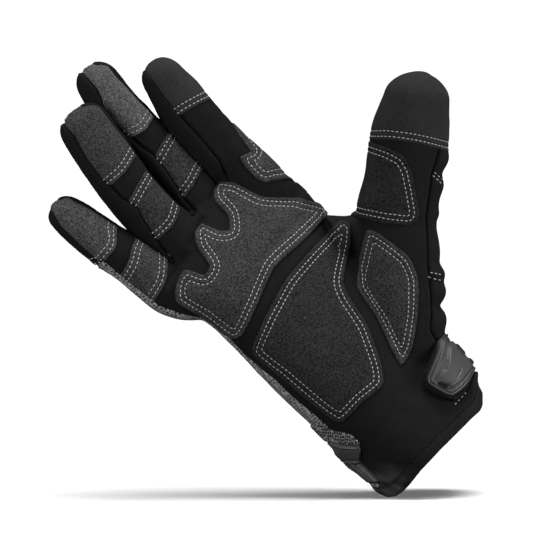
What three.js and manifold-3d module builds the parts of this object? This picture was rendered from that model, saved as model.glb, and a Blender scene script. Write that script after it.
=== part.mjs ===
// A right-hand work glove held open as on a raised hand: panels, fourchettes, suede patches,
// fingertip caps, cuff hem and wrist strap. Millimetres. The glove is built in its own frame
// (x across the palm towards the thumb, z from wrist to fingertips, y away from the palm side),
// and one group leans it over as it is shown.
import * as THREE from "three";
import { mergeVertices } from "three/addons/utils/BufferGeometryUtils.js";
import Module from "manifold-3d";

const wasm = await Module();
wasm.setup();

// Driving dimensions
const lean = 42; // degrees that the fingers lean over to the left
const wall = 1.5; // thickness of the leather and knit panels
const patchLift = 0.3; // clearance between a patch and the panel under it
const patchWall = 1.2; // suede patch thickness
const capWall = 1.0; // thickness of the two black fingertip caps
const seamGap = 0.35; // clearance between neighbouring panels
const hemWidth = 5.5; // rolled hem at the wrist opening
const hemSwell = 0.7; // how much thicker the hem is than the panel, on each face
const strapWall = 1.8;
const tabWall = 3.6;
const meshWall = 0.8;
const strapLow = 9; // strap's lower and upper edges above the wrist opening
const strapHigh = 30;
const strapFrontEnd = -29.5; // where the strap ends on the palm side, across
const tabInner = 10; // nothing of the tab lies nearer the palm's middle than this
const tabBehind = 21; // how far round the thumb side the rubber tab reaches, in depth
const roundness = 2.3; // superellipse power of every section
const fingerSides = 12;
const palmSides = 20;
const curveSteps = 1.5; // corners that a smooth outline gets for each of its points
const tipSteps = [36, 70]; // degrees round a fingertip's end where its sections lie
const innerSides = (sides) => 2 * Math.round(0.36 * sides); // sides of the hollow's sections
const cuffOverrun = 4; // how far the forms run on below the wrist opening before the trim
const webHalf = 5.5; // half width of the strips between the fingers
const webEnd = 2; // how far such a strip runs on past a finger's last section
const webInset = 3; // how far from a finger's middle line such a strip may begin
const panelGrow = 0.6; // how far a panel's cutting form stands outside the glove
const slabMargin = 7; // how far the cutting slabs reach past a limb
const reach = 150; // half size of the other cutting bodies

// Sections of the palm from the wrist opening to the finger roots
const palmRows = [
  { across: 0.8, along: 0, depth: 0, width: 71, thick: 52, turn: 27 },
  { across: 0.3, along: 22, depth: 0, width: 70, thick: 49, turn: 27 },
  { across: 0.5, along: 45, depth: 0, width: 76, thick: 46, turn: 27 },
  { across: 1, along: 75, depth: 0, width: 82, thick: 43, turn: 27 },
  { across: 0.5, along: 100, depth: 0, width: 83, thick: 40, turn: 27 },
  { across: -1.5, along: 122, depth: 0, width: 84, thick: 37, turn: 27 },
  { across: -6.5, along: 142, depth: -1, width: 90, thick: 30, turn: 26 },
  { across: -4, along: 152, depth: 0, width: 78, thick: 24, turn: 25 },
  { across: -2, along: 162, depth: 1, width: 58, thick: 16, turn: 24 },
];

// Sections of each digit from inside the palm to where its rounded tip begins
const digits = {
  thumb: {
    tip: 13,
    sides: fingerSides,
    rows: [
      { across: 16, along: 34, depth: 2, width: 32, thick: 32, turn: 8 },
      { across: 31.5, along: 56, depth: 3, width: 37, thick: 34, turn: 8 },
      { across: 49, along: 79, depth: 4, width: 39, thick: 33, turn: 8 },
      { across: 62.5, along: 96, depth: 5, width: 37.5, thick: 31, turn: 8 },
      { across: 76.5, along: 106.5, depth: 5, width: 36.5, thick: 29, turn: 8 },
      { across: 95, along: 122, depth: 3, width: 36.5, thick: 27, turn: 8 },
      { across: 106, along: 131.3, depth: 0, width: 31.5, thick: 23, turn: 8 },
    ],
  },
  index: {
    tip: 11,
    sides: fingerSides,
    rows: [
      { across: 23.5, along: 126, depth: 10, width: 19, thick: 17, turn: 16 },
      { across: 23.3, along: 150, depth: 9.5, width: 28, thick: 26, turn: 12 },
      { across: 21.3, along: 168, depth: 8.5, width: 27, thick: 24, turn: 8 },
      { across: 21.2, along: 199, depth: 4, width: 25.5, thick: 22, turn: 8 },
      { across: 22, along: 209, depth: 2, width: 22.8, thick: 19.5, turn: 8 },
      { across: 22.5, along: 218, depth: 0, width: 19.5, thick: 16.5, turn: 8 },
    ],
  },
  middle: {
    tip: 9.5,
    sides: fingerSides,
    rows: [
      { across: -4, along: 126, depth: 3, width: 20, thick: 20, turn: 18 },
      { across: -4.5, along: 150, depth: 5, width: 25.5, thick: 24, turn: 18 },
      { across: -4.7, along: 176, depth: 3, width: 24.6, thick: 23, turn: 18 },
      { across: -4.1, along: 212, depth: -2, width: 22.8, thick: 20, turn: 18 },
      { across: -3.1, along: 228, depth: -4.5, width: 21, thick: 18, turn: 18 },
      { across: -2, along: 237, depth: -6, width: 20, thick: 15.5, turn: 18 },
    ],
  },
  ring: {
    tip: 10.5,
    sides: fingerSides,
    rows: [
      { across: -19, along: 126, depth: -7, width: 20, thick: 20, turn: 20 },
      { across: -22.5, along: 150, depth: -9, width: 26.6, thick: 24, turn: 20 },
      { across: -23.5, along: 168, depth: -13.5, width: 26.6, thick: 23.5, turn: 20 },
      { across: -23.2, along: 199, depth: -20, width: 25.4, thick: 21.5, turn: 20 },
      { across: -21.8, along: 213, depth: -22.5, width: 24.6, thick: 20, turn: 20 },
      { across: -19.6, along: 226, depth: -24, width: 24, thick: 17.5, turn: 20 },
    ],
  },
  little: {
    tip: 8,
    sides: fingerSides,
    rows: [
      { across: -30, along: 124, depth: -13, width: 18, thick: 18, turn: 22 },
      { across: -41, along: 140, depth: -16, width: 24.5, thick: 23, turn: 22 },
      { across: -44.5, along: 152, depth: -18.5, width: 22.5, thick: 21, turn: 22 },
      { across: -50, along: 178, depth: -23.5, width: 21.2, thick: 19, turn: 22 },
      { across: -52.6, along: 192, depth: -25.5, width: 19.5, thick: 17.5, turn: 22 },
      { across: -54.5, along: 202, depth: -26.5, width: 17, thick: 15, turn: 22 },
    ],
  },
};

// The thumb's own panels begin past this point of its length, at the web
const thumbSeam = { across: 58, along: 90.5, depth: 4.7, width: 38, thick: 31.6, turn: 8 };

// Strips between two fingers: from which height they start, and the two fingers they join
const webs = [
  { thumbSide: "index", farSide: "middle", across: 8.5, depth: 6, start: 158 },
  { thumbSide: "middle", farSide: "ring", across: -13.5, depth: -4, start: 158 },
  { thumbSide: "ring", farSide: "little", across: -34, depth: -14, start: 149 },
];

// Patches over the palm and digits: outline seen from the palm side as [across, along] points.
// A smooth outline is one closed curve; wrap is how far past the side seams the patch reaches.
const patches = [
  {
    name: "bridge_patch", look: "greySuede", smooth: true, wrap: -1,
    outline: [
      [5, 163.5], [2, 159], [2, 150], [-2, 144.5], [-6, 147.5], [-9.5, 155], [-14.5, 155],
      [-18.5, 149], [-20, 138.5], [-25, 137], [-30, 144.5], [-37.5, 142.5], [-43, 136],
      [-38.5, 121], [-35.5, 106], [-30, 103.5], [-14.5, 110], [2, 117], [20, 117], [36, 117.5],
      [39, 121], [31.5, 134], [20, 146], [15, 159], [9.5, 164.5],
    ],
  },
  {
    name: "heel_patch", look: "greySuede", smooth: true, wrap: -1,
    outline: [
      [40, 112], [42, 107], [35, 99.5], [22, 90], [19, 83], [16.5, 67], [9, 48.5], [3, 41],
      [-10, 41.5], [-23, 41], [-26.5, 50], [-30, 75], [-32.3, 94], [-18, 102], [2, 109],
      [19, 111], [31.5, 111.5],
    ],
  },
  {
    name: "thenar_patch", look: "greySuede", smooth: true, wrap: -1,
    outline: [
      [46.5, 99.5], [50, 95], [53, 78], [49, 66.5], [37.5, 54], [25, 44], [16, 41.5],
      [17, 49.5], [22, 65.5], [25, 83], [35.5, 92],
    ],
  },
  {
    name: "thumb_saddle_patch", look: "greySuede", smooth: false, wrap: 4,
    outline: [
      [76, 131], [81, 122], [83.5, 115], [82, 108], [77, 99.5], [71, 90], [67.5, 87.5],
      [63.5, 88], [55.5, 97], [46, 109.5], [52, 125],
    ],
  },
  {
    name: "index_side_patch", look: "greySuede", smooth: false, wrap: 5,
    outline: [
      [48, 188], [34, 188], [31, 171], [30.5, 165], [25, 167], [23.8, 162], [24, 153],
      [26, 149.4], [34, 144], [35.6, 132], [48, 132],
    ],
  },
  {
    name: "middle_tip_patch", look: "tipSuede", digit: "middle", smooth: false, wrap: -2,
    outline: [
      [-20, 212], [-6, 208.5], [-3.5, 207], [0.5, 207], [4.5, 208], [20, 212], [20, 260],
      [-20, 260],
    ],
  },
  {
    name: "middle_pad", look: "greySuede", digit: "middle", smooth: false, wrap: -2,
    outline: [
      [-20, 190], [-6.5, 194], [2, 197], [20, 202], [20, 176], [7, 174.5], [-6.5, 170.5],
      [-20, 168],
    ],
  },
  {
    name: "ring_tip_patch", look: "tipSuede", digit: "ring", smooth: false, wrap: -2,
    outline: [[-45, 198], [-29, 198.5], [-19.5, 198.5], [-12.5, 200.5], [-4, 204], [0, 250], [-45, 250]],
  },
  {
    name: "ring_pad", look: "greySuede", digit: "ring", smooth: false, wrap: -2,
    outline: [
      [-31, 186], [-24, 188.5], [-12, 192.5], [-4, 194], [-4, 172], [-12, 168.5],
      [-18, 165], [-27, 164], [-31, 165],
    ],
  },
  {
    name: "little_tip_patch", look: "tipSuede", digit: "little", smooth: false, wrap: -2,
    outline: [[-70, 174], [-53, 174], [-45.5, 176], [-42, 180], [-36, 184], [-36, 220], [-70, 220]],
  },
  {
    name: "little_pad", look: "greySuede", digit: "little", smooth: false, wrap: -2,
    outline: [
      [-70, 158], [-54, 163.5], [-47, 166], [-40, 170.5], [-34, 173], [-34, 153],
      [-38.5, 148.5], [-49, 144], [-70, 140],
    ],
  },
];

// Black caps drawn over the ends of the index finger and the thumb
const caps = [
  {
    name: "index_tip_cap", digit: "index",
    outline: [[0, 201.5], [20, 200.5], [30, 198], [45, 192], [45, 250], [0, 250]],
  },
  {
    name: "thumb_tip_cap", digit: "thumb",
    outline: [[71, 137], [86, 123], [93.5, 113.5], [101, 101.5], [135, 105], [135, 160], [85, 160]],
  },
];

// Rubber tab at the thumb side of the wrist, and the open mesh beside the strap's other end
const tabOutline = [
  [45, 41.5], [37, 41.5], [35.5, 37], [24, 31], [18.5, 28], [17, 25], [18, 20.5], [22, 12],
  [24, 10.3], [28, 10], [45, 12],
];
const meshOutline = [[-29.5, 39.5], [-25.5, 35.5], [-24, 31], [-31, 31], [-33.5, 35.5]];

const looks = {
  blackLeather: { color: 0x1b1b1d, roughness: 0.85, metalness: 0 },
  greySuede: { color: 0x47474a, roughness: 0.95, metalness: 0 },
  tipSuede: { color: 0x55565a, roughness: 0.95, metalness: 0 },
  greyKnit: { color: 0x6c6e72, roughness: 0.9, metalness: 0 },
  webbing: { color: 0x161618, roughness: 0.75, metalness: 0 },
  rubber: { color: 0x2e2f31, roughness: 0.45, metalness: 0 },
};

const radians = THREE.MathUtils.degToRad;

// Turns a closed three.js geometry into a solid
function toSolid(geometry) {
  geometry.deleteAttribute("normal");
  geometry.deleteAttribute("uv");
  const merged = mergeVertices(geometry, 1e-4);
  return new wasm.Manifold(
    new wasm.Mesh({
      numProp: 3,
      vertProperties: new Float32Array(merged.attributes.position.array),
      triVerts: new Uint32Array(merged.index.array),
    }),
  );
}

// Turns a solid back into a geometry
function toGeometry(solid) {
  const mesh = solid.getMesh();
  const geometry = new THREE.BufferGeometry();
  const positions = new Float32Array(mesh.numVert * 3);
  for (let i = 0; i < mesh.numVert; i += 1) {
    for (let axis = 0; axis < 3; axis += 1) {
      positions[3 * i + axis] = mesh.vertProperties[i * mesh.numProp + axis];
    }
  }
  geometry.setAttribute("position", new THREE.BufferAttribute(positions, 3));
  geometry.setIndex([...mesh.triVerts]);
  geometry.computeVertexNormals();
  return geometry;
}

function centreOf(row) {
  return new THREE.Vector3(row.across, row.depth, row.along);
}

// Centre and axes of each row's section: length axis, width axis and thickness axis.
// The palm's wide sections stay level, and a digit's are square to its middle line.
function frames(rows, level) {
  return rows.map((row, i) => {
    const before = centreOf(rows[Math.max(i - 1, 0)]);
    const after = centreOf(rows[Math.min(i + 1, rows.length - 1)]);
    const forward = level ? new THREE.Vector3(0, 0, 1) : after.sub(before).normalize();
    const turned = new THREE.Vector3(Math.cos(radians(row.turn)), Math.sin(radians(row.turn)), 0);
    const side = turned.addScaledVector(forward, -turned.dot(forward)).normalize();
    const back = new THREE.Vector3().crossVectors(forward, side);
    return { centre: centreOf(row), forward, side, back, row };
  });
}

// A sine or cosine bent so that a circle becomes a superellipse
const bent = (value) => Math.sign(value) * Math.abs(value) ** (2 / roundness);

// One ring of points round a section
function sectionRing(frame, halfWidth, halfThick, sides, centre) {
  const ring = [];
  for (let i = 0; i < sides; i += 1) {
    const angle = (2 * Math.PI * (i + 0.5)) / sides;
    const x = halfWidth * bent(Math.cos(angle));
    const y = halfThick * bent(Math.sin(angle));
    ring.push(centre.clone().addScaledVector(frame.side, x).addScaledVector(frame.back, y));
  }
  return ring;
}

// Closed skin through rings of equal length, with a point or a flat cap at each end
function skin(rings) {
  const sides = rings[0].length;
  const points = rings.flat();
  const middle = (ring) => ring.reduce((sum, p) => sum.add(p), new THREE.Vector3()).divideScalar(sides);
  const first = points.push(middle(rings[0])) - 1;
  const last = points.push(middle(rings[rings.length - 1])) - 1;
  const faces = [];
  for (let j = 0; j < sides; j += 1) {
    const next = (j + 1) % sides;
    for (let i = 0; i + 1 < rings.length; i += 1) {
      const a = i * sides + j;
      const b = i * sides + next;
      faces.push(a, b, b + sides, a, b + sides, a + sides);
    }
    const top = (rings.length - 1) * sides;
    faces.push(first, next, j, last, top + j, top + next);
  }
  const geometry = new THREE.BufferGeometry();
  const numbers = points.flatMap((p) => p.toArray());
  geometry.setAttribute("position", new THREE.Float32BufferAttribute(numbers, 3));
  geometry.setIndex(faces);
  return toSolid(geometry);
}

// A digit or the palm, grown outwards by a distance, with a rounded tip where it has one
function limb({ rows, tip, sides, level }, grow) {
  const placed = frames(rows, level);
  const rings = placed.map((frame) =>
    sectionRing(frame, frame.row.width / 2 + grow, frame.row.thick / 2 + grow, sides, frame.centre),
  );
  const end = placed[placed.length - 1];
  if (tip === 0) {
    rings[rings.length - 1].forEach((point) => point.addScaledVector(end.forward, grow));
  } else {
    for (const degrees of tipSteps) {
      const shrink = Math.cos(radians(degrees)) ** 0.85;
      const ahead = (tip + grow) * Math.sin(radians(degrees));
      const centre = end.centre.clone().addScaledVector(end.forward, ahead);
      const halfWidth = (end.row.width / 2 + grow) * shrink;
      const halfThick = (end.row.thick / 2 + grow) * shrink;
      rings.push(sectionRing(end, halfWidth, halfThick, sides, centre));
    }
  }
  return skin(rings);
}

const digit = (name, grow) => limb(digits[name], grow);

// The palm, carried on below the wrist opening so that level cuts can trim it
const palmLimb = {
  tip: 0,
  sides: palmSides,
  level: true,
  rows: [{ ...palmRows[0], along: -cuffOverrun }, ...palmRows.slice(1)],
};
const palm = (grow) => limb(palmLimb, grow);

function unionOf(solids) {
  return solids.reduce((sum, solid) => sum.add(solid));
}

// The whole glove's form, grown by a distance
const form = (grow) => unionOf([palmLimb, ...Object.values(digits)].map((part) => limb(part, grow)));

// The hollow inside it, whose sections have fewer sides
const hollow = unionOf(
  [palmLimb, ...Object.values(digits)].map((part) =>
    limb({ ...part, sides: innerSides(part.sides) }, -wall),
  ),
);

// A block given by its lowest and highest corners
function block(low, high) {
  const size = new THREE.Vector3().subVectors(high, low);
  const geometry = new THREE.BoxGeometry(size.x, size.y, size.z);
  geometry.translate((low.x + high.x) / 2, (low.y + high.y) / 2, (low.z + high.z) / 2);
  return toSolid(geometry);
}

const between = (low, high) =>
  block(new THREE.Vector3(-reach, -reach, low), new THREE.Vector3(reach, reach, high));

// A slab that follows a limb: everything between two distances in front of or behind its
// middle, and between two edges. What isn't given reaches just past the limb.
function slab({ rows, level }, depths, edges, overrun) {
  const placed = frames(rows, level);
  const last = placed[placed.length - 1];
  const beyond = last.centre.clone().addScaledVector(last.forward, overrun);
  const stations = [...placed, { ...last, centre: beyond }];
  const rings = stations.map((frame) => {
    const halfWidth = frame.row.width / 2 + slabMargin;
    const low = depths.from ?? -frame.row.thick / 2 - slabMargin;
    const left = edges.left ?? -halfWidth;
    const right = edges.right ?? halfWidth;
    const corners = [[left, low], [right, low], [right, depths.to], [left, depths.to]];
    return corners.map(([x, y]) =>
      frame.centre.clone().addScaledVector(frame.side, x).addScaledVector(frame.back, y),
    );
  });
  return skin(rings);
}

// The palm side of a limb, up to its side seams moved back by a distance
function frontOf(part, shift, grow) {
  return slab(part, { to: shift }, {}, part.tip + slabMargin).intersect(limb(part, grow));
}
const frontHalf = (shift, grow) =>
  unionOf([palmLimb, ...Object.values(digits)].map((part) => frontOf(part, shift, grow)));

// The part of the glove that the thumb's palm-side panel covers, swelled by a clearance
function thumbPart(clear) {
  const { forward, centre } = frames([thumbSeam, digits.thumb.rows[3]])[0];
  const start = centre.addScaledVector(forward, -clear);
  const first = { ...thumbSeam, across: start.x, depth: start.y, along: start.z };
  return limb({ ...digits.thumb, rows: [first, ...digits.thumb.rows.slice(3)] }, panelGrow + clear);
}

// The strip between two fingers: the facing sides of both and the crotch that joins them
function webPart(web, clear) {
  const facing = [
    { on: digits[web.thumbSide], edges: { right: -webInset + clear } },
    { on: digits[web.farSide], edges: { left: webInset - clear } },
  ];
  const depths = { from: -webHalf - clear, to: webHalf + clear };
  const sides = facing.map(({ on, edges }) =>
    slab(on, depths, edges, webEnd + clear).intersect(limb(on, panelGrow + clear)),
  );
  const above = between(web.start - clear, 2 * reach);
  const size = webHalf + clear;
  const crotch = block(
    new THREE.Vector3(web.across - size, web.depth - size, web.start - clear),
    new THREE.Vector3(web.across + size, web.depth + size, web.start + 2 * webHalf + clear),
  );
  return unionOf(sides).intersect(above).add(crotch);
}

// A prism along the line of sight through a closed outline
function prism(points, smooth = false) {
  const corners = points.map(([x, z]) => new THREE.Vector3(x, z, 0));
  const curve = new THREE.CatmullRomCurve3(corners, true, "centripetal");
  const steps = Math.round(curveSteps * points.length);
  const outline = smooth ? curve.getPoints(steps).slice(0, -1) : corners;
  const shape = new THREE.Shape(outline.map((p) => new THREE.Vector2(p.x, p.y)));
  const geometry = new THREE.ExtrudeGeometry(shape, { depth: 2 * reach, bevelEnabled: false });
  geometry.rotateX(Math.PI / 2);
  geometry.translate(0, reach, 0);
  return toSolid(geometry);
}

// Keeps the largest body of a solid
function mainBody(solid) {
  const bodies = solid.decompose();
  return bodies.reduce((best, body) => (body.volume() > best.volume() ? body : best));
}

const pieces = [];
function piece(name, look, solid) {
  pieces.push({ name, look, solid: mainBody(solid) });
}

// Panels: one shell, parted at the side seams, the thumb, the finger strips and the hem
const shell = form(0).subtract(hollow).intersect(between(hemWidth + seamGap, 2 * reach));
const front = frontHalf(0, panelGrow);
const frontClear = frontHalf(seamGap, panelGrow + seamGap);
const body = shell.subtract(unionOf(webs.map((web) => webPart(web, seamGap))));
piece("palm_panel", "blackLeather", body.subtract(thumbPart(seamGap)).intersect(front));
piece("back_panel", "greyKnit", body.subtract(digit("thumb", panelGrow + seamGap)).subtract(frontClear));
piece("thumb_front", "blackLeather", shell.intersect(thumbPart(0)).intersect(front));
piece("thumb_back", "blackLeather", shell.intersect(digit("thumb", panelGrow)).subtract(frontClear));
webs.forEach((web) => {
  piece(`fourchette_${web.thumbSide}_${web.farSide}`, "blackLeather", shell.intersect(webPart(web, 0)));
});

// Hem round the wrist opening
const hemTube = palm(hemSwell).subtract(palm(-wall - hemSwell));
piece("cuff_hem", "webbing", hemTube.intersect(between(0, hemWidth)));

// Patches lie just above the panels, on the palm side
const panelSkin = form(patchLift);
const patchTop = patchLift + patchWall;
const wholeTop = form(patchTop);
patches.forEach(({ name, look, digit: on, outline, smooth, wrap }) => {
  const top = on ? digit(on, patchTop) : wholeTop;
  const half = on ? frontOf(digits[on], wrap, patchTop + 1) : frontHalf(wrap, patchTop + 1);
  piece(name, look, top.subtract(panelSkin).intersect(half).intersect(prism(outline, smooth)));
});
caps.forEach(({ name, digit: on, outline }) => {
  const capSkin = digit(on, patchLift + capWall).subtract(panelSkin);
  piece(name, "blackLeather", capSkin.intersect(prism(outline)));
});

// Wrist strap round the back, its rubber tab on the thumb side, and the mesh at its other end
const tabArea = (clear) =>
  block(
    new THREE.Vector3(tabInner, -reach, 0),
    new THREE.Vector3(reach, tabBehind + clear, 2 * strapHigh),
  );
const strapFront = block(
  new THREE.Vector3(strapFrontEnd, -reach, 0),
  new THREE.Vector3(reach, reach, 2 * strapHigh),
);
const strapRing = palm(patchLift + strapWall).subtract(panelSkin).intersect(between(strapLow, strapHigh));
const strapOpen = strapRing.subtract(frontOf(palmLimb, 0, tabWall).intersect(strapFront));
piece("wrist_strap", "webbing", strapOpen.subtract(tabArea(seamGap)));
const tabSkin = palm(patchLift + tabWall).subtract(panelSkin);
piece("strap_tab", "rubber", tabSkin.intersect(prism(tabOutline)).intersect(tabArea(0)));
const meshSkin = palm(patchLift + meshWall).subtract(panelSkin).intersect(frontOf(palmLimb, 2, tabWall));
piece("side_mesh", "greyKnit", meshSkin.intersect(prism(meshOutline)));

const assembly = new THREE.Group();
assembly.name = "safety_glove";
assembly.rotation.y = -radians(lean);
pieces.forEach(({ name, look, solid }) => {
  const mesh = new THREE.Mesh(toGeometry(solid), new THREE.MeshStandardMaterial(looks[look]));
  mesh.name = name;
  assembly.add(mesh);
});
assembly.updateMatrixWorld(true);

export default assembly;
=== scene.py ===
import math

import bmesh
import bpy
import numpy as np
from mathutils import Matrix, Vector
from mathutils.bvhtree import BVHTree


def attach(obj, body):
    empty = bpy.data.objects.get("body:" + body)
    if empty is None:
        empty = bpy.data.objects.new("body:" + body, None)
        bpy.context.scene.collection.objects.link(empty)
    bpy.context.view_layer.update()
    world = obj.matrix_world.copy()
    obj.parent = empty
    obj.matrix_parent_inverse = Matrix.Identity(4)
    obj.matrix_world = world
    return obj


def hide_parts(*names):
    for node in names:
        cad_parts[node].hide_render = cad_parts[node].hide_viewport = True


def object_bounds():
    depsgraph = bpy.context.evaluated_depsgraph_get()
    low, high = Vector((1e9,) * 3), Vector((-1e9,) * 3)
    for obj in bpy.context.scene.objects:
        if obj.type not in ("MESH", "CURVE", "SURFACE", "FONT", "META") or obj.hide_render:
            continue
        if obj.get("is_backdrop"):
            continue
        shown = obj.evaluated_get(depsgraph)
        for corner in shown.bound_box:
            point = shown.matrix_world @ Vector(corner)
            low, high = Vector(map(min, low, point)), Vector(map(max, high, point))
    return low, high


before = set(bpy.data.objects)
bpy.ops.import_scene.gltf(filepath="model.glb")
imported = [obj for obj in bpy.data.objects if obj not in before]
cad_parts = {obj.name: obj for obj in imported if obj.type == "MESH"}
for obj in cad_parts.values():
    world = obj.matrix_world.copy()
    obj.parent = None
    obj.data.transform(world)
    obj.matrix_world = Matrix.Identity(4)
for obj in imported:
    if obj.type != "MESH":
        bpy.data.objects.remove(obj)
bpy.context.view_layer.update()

# Shapes are worked out in millimetres in the hand's own frame: x runs across the palm
# towards the thumb, y from the palm side to the back, z along from wrist to fingertips.
hand = {
    "lean": 42.0,  # degrees that the fingers lean over to the left
    "roundness": 2.3,  # superellipse power of every section
    "wall": 1.5,
    "voxel": 1.01,
    "quickVoxel": 1.515,
    "smoothing": 5,
    "sides": 48,
    "palmSides": 110,
    "step": 1.0,  # distance between worked-out sections
    "hemWidth": 5.5,
    "seamGap": 0.15,
    "blend": 2.2,  # how softly a side seam passes from the palm to a digit
    "seed": 7,
}


def rowTable(columns, rows):
    return [dict(zip(columns.split(), row)) for row in rows]


sectionColumns = "across along depth width thick turn"
palmRows = rowTable(sectionColumns, [
    (0.8, -4, 0, 71, 52, 27),
    (0.8, 0, 0, 71, 52, 27),
    (0.3, 22, 0, 70, 49, 27),
    (0.5, 45, 0, 76, 46, 27),
    (1, 75, 0, 82, 43, 27),
    (0.5, 100, 0, 83, 40, 27),
    (-1.5, 122, 0, 84, 37, 27),
    (-6.1, 142, -1, 91, 30, 26),
    (-4, 152, 0, 78, 24, 25),
    (-2, 162, 1, 58, 16, 24),
])
# Length of each domed tip, and how pointed it is
digitTips = {
    "thumb": (13, 1.35), "index": (11, 0.85), "middle": (11, 0.85), "ring": (10.5, 0.85),
    "little": (8, 0.85),
}
digitRows = {
    "thumb": rowTable(sectionColumns, [
        (16, 34, 2, 32, 32, 8),
        (31.5, 56, 3, 37, 34, 8),
        (49, 79, 4, 39, 33, 8),
        (62.5, 96, 5, 37.5, 31, 8),
        (76.5, 106.5, 5, 36.5, 29, 8),
        (95, 122, 3, 36.5, 27, 8),
        (106.6, 130.9, 0, 31.5, 23, 8),
    ]),
    "index": rowTable(sectionColumns, [
        (23.5, 126, 10, 19, 17, 16),
        (22.2, 150, 9.5, 25.4, 26, 12),
        (20.6, 168, 8.5, 25.6, 24, 8),
        (19.9, 184, 6.5, 25.4, 23.5, 8),
        (20.6, 199, 4, 24.4, 22, 8),
        (22, 209, 2, 22.8, 19.5, 8),
        (22.5, 218, 0, 19.5, 16.5, 8),
    ]),
    "middle": rowTable(sectionColumns, [
        (-4, 126, 3, 20, 20, 18),
        (-4.5, 150, 5, 25.5, 24, 18),
        (-4.7, 176, 3, 24.6, 23, 18),
        (-4.5, 194, 1, 24, 22, 18),
        (-4.1, 212, -2, 22.8, 20, 18),
        (-3.1, 228, -4.5, 21, 18, 18),
        (-2, 237, -6, 20, 15.5, 18),
    ]),
    "ring": rowTable(sectionColumns, [
        (-19, 126, -7, 20, 20, 20),
        (-22.7, 150, -9, 26.2, 24, 20),
        (-24.6, 168, -13.5, 24.4, 23.5, 20),
        (-25, 183, -17, 24, 22.5, 20),
        (-23.8, 199, -20, 24.2, 21.5, 20),
        (-21.8, 213, -22.5, 24.6, 20, 20),
        (-19.6, 226, -24, 24, 17.5, 20),
    ]),
    "little": rowTable(sectionColumns, [
        (-30, 124, -13, 18, 18, 22),
        (-41, 140, -16, 24.5, 23, 22),
        (-44.5, 152, -18.5, 22.5, 21, 22),
        (-47, 166, -21.5, 21.5, 20, 22),
        (-50, 178, -23.5, 21.2, 19, 22),
        (-52.6, 192, -25.5, 19.5, 17.5, 22),
        (-54.5, 202, -26.5, 17, 15, 22),
    ]),
}
# The web of cloth between thumb and index finger
crotchRows = rowTable(sectionColumns, [
    (57, 97, 7, 26, 22, 0),
    (50, 99, 7, 21, 20, 0),
    (44, 100.5, 7, 20.5, 19, 0),
    (38, 102, 7, 27, 20, 0),
    (31, 104, 6, 34, 22, 0),
])


def unit(vectors):
    return vectors / np.maximum(np.linalg.norm(vectors, axis=-1), 1e-9)[..., None]


# A smooth curve between two values with given slopes, at shares u of the span between them
def blendCurve(u, start, end, slopeStart, slopeEnd, span=1):
    value = (2 * u**3 - 3 * u**2 + 1) * start + (3 * u**2 - 2 * u**3) * end
    return value + ((u**3 - 2 * u**2 + u) * slopeStart + (u**3 - u**2) * slopeEnd) * span


# Sections worked out smoothly between the rows of a table
def makeLimb(rows, level=False, tip=0, point=1):
    keys = ("across", "depth", "along", "width", "thick", "turn")
    data = np.array([[row[key] for key in keys] for row in rows], float)
    knots = np.concatenate([[0], np.cumsum(np.linalg.norm(np.diff(data[:, :3], axis=0), axis=1))])
    slopes = np.gradient(data, knots, axis=0)
    at = np.linspace(0, knots[-1], max(2, round(knots[-1] / hand["step"])) + 1)
    i = np.clip(np.searchsorted(knots, at, side="right") - 1, 0, len(knots) - 2)
    span = (knots[i + 1] - knots[i])[:, None]
    u = (at - knots[i])[:, None] / span
    values = blendCurve(u, data[i], data[i + 1], slopes[i], slopes[i + 1], span)
    centre = values[:, :3]
    forward = unit(np.gradient(centre, at, axis=0))
    if level:
        forward = np.tile([0.0, 0.0, 1.0], (len(at), 1))
    turn = np.radians(values[:, 5])
    side = np.stack([np.cos(turn), np.sin(turn), 0 * turn], 1)
    side = unit(side - forward * (side * forward).sum(1)[:, None])
    return {
        "at": at, "centre": centre, "forward": forward, "side": side,
        "back": np.cross(forward, side), "halfWidth": values[:, 3] / 2,
        "halfThick": values[:, 4] / 2, "tip": tip, "point": point, "level": level,
    }


def bent(value):
    return np.sign(value) * np.abs(value) ** (2 / hand["roundness"])


# Closed loft through a limb's sections, with a domed end where it has a tip
def loftLimb(limb, sides):
    angle = 2 * np.pi * (np.arange(sides) + 0.5) / sides
    x, y = bent(np.cos(angle)), bent(np.sin(angle))
    rings = []

    def ring(i, scale, ahead):
        centre = limb["centre"][i] + limb["forward"][i] * ahead
        wide = limb["side"][i] * limb["halfWidth"][i] * scale
        thick = limb["back"][i] * limb["halfThick"][i] * scale
        rings.append(centre + x[:, None] * wide + y[:, None] * thick)

    for i in range(len(limb["at"])):
        ring(i, 1.0, 0.0)
    for degrees in range(10, 90, 10) if limb["tip"] else ():
        a = math.radians(degrees)
        ring(-1, math.cos(a) ** limb["point"], limb["tip"] * math.sin(a))
    points = np.concatenate(rings)
    first, last = len(points), len(points) + 1
    points = np.vstack([points, rings[0].mean(0), rings[-1].mean(0) + limb["forward"][-1] * 0.01])
    faces = []
    for i in range(len(rings) - 1):
        for j in range(sides):
            a, b = i * sides + j, i * sides + (j + 1) % sides
            faces.append((a, b, b + sides, a + sides))
    top = (len(rings) - 1) * sides
    for j in range(sides):
        k = (j + 1) % sides
        faces.append((first, k, j))
        faces.append((last, top + j, top + k))
    return points, faces


limbs = {"palm": makeLimb(palmRows, level=True), "crotch": makeLimb(crotchRows)}
for name, rows in digitRows.items():
    tip, point = digitTips[name]
    limbs[name] = makeLimb(rows, tip=tip, point=point)


def addObject(name, data):
    obj = bpy.data.objects.new(name, data)
    bpy.context.collection.objects.link(obj)
    return obj


def tempObject(points, faces):
    mesh = bpy.data.meshes.new("form")
    mesh.from_pydata(points.tolist(), [], faces)
    return addObject("form", mesh)


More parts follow.
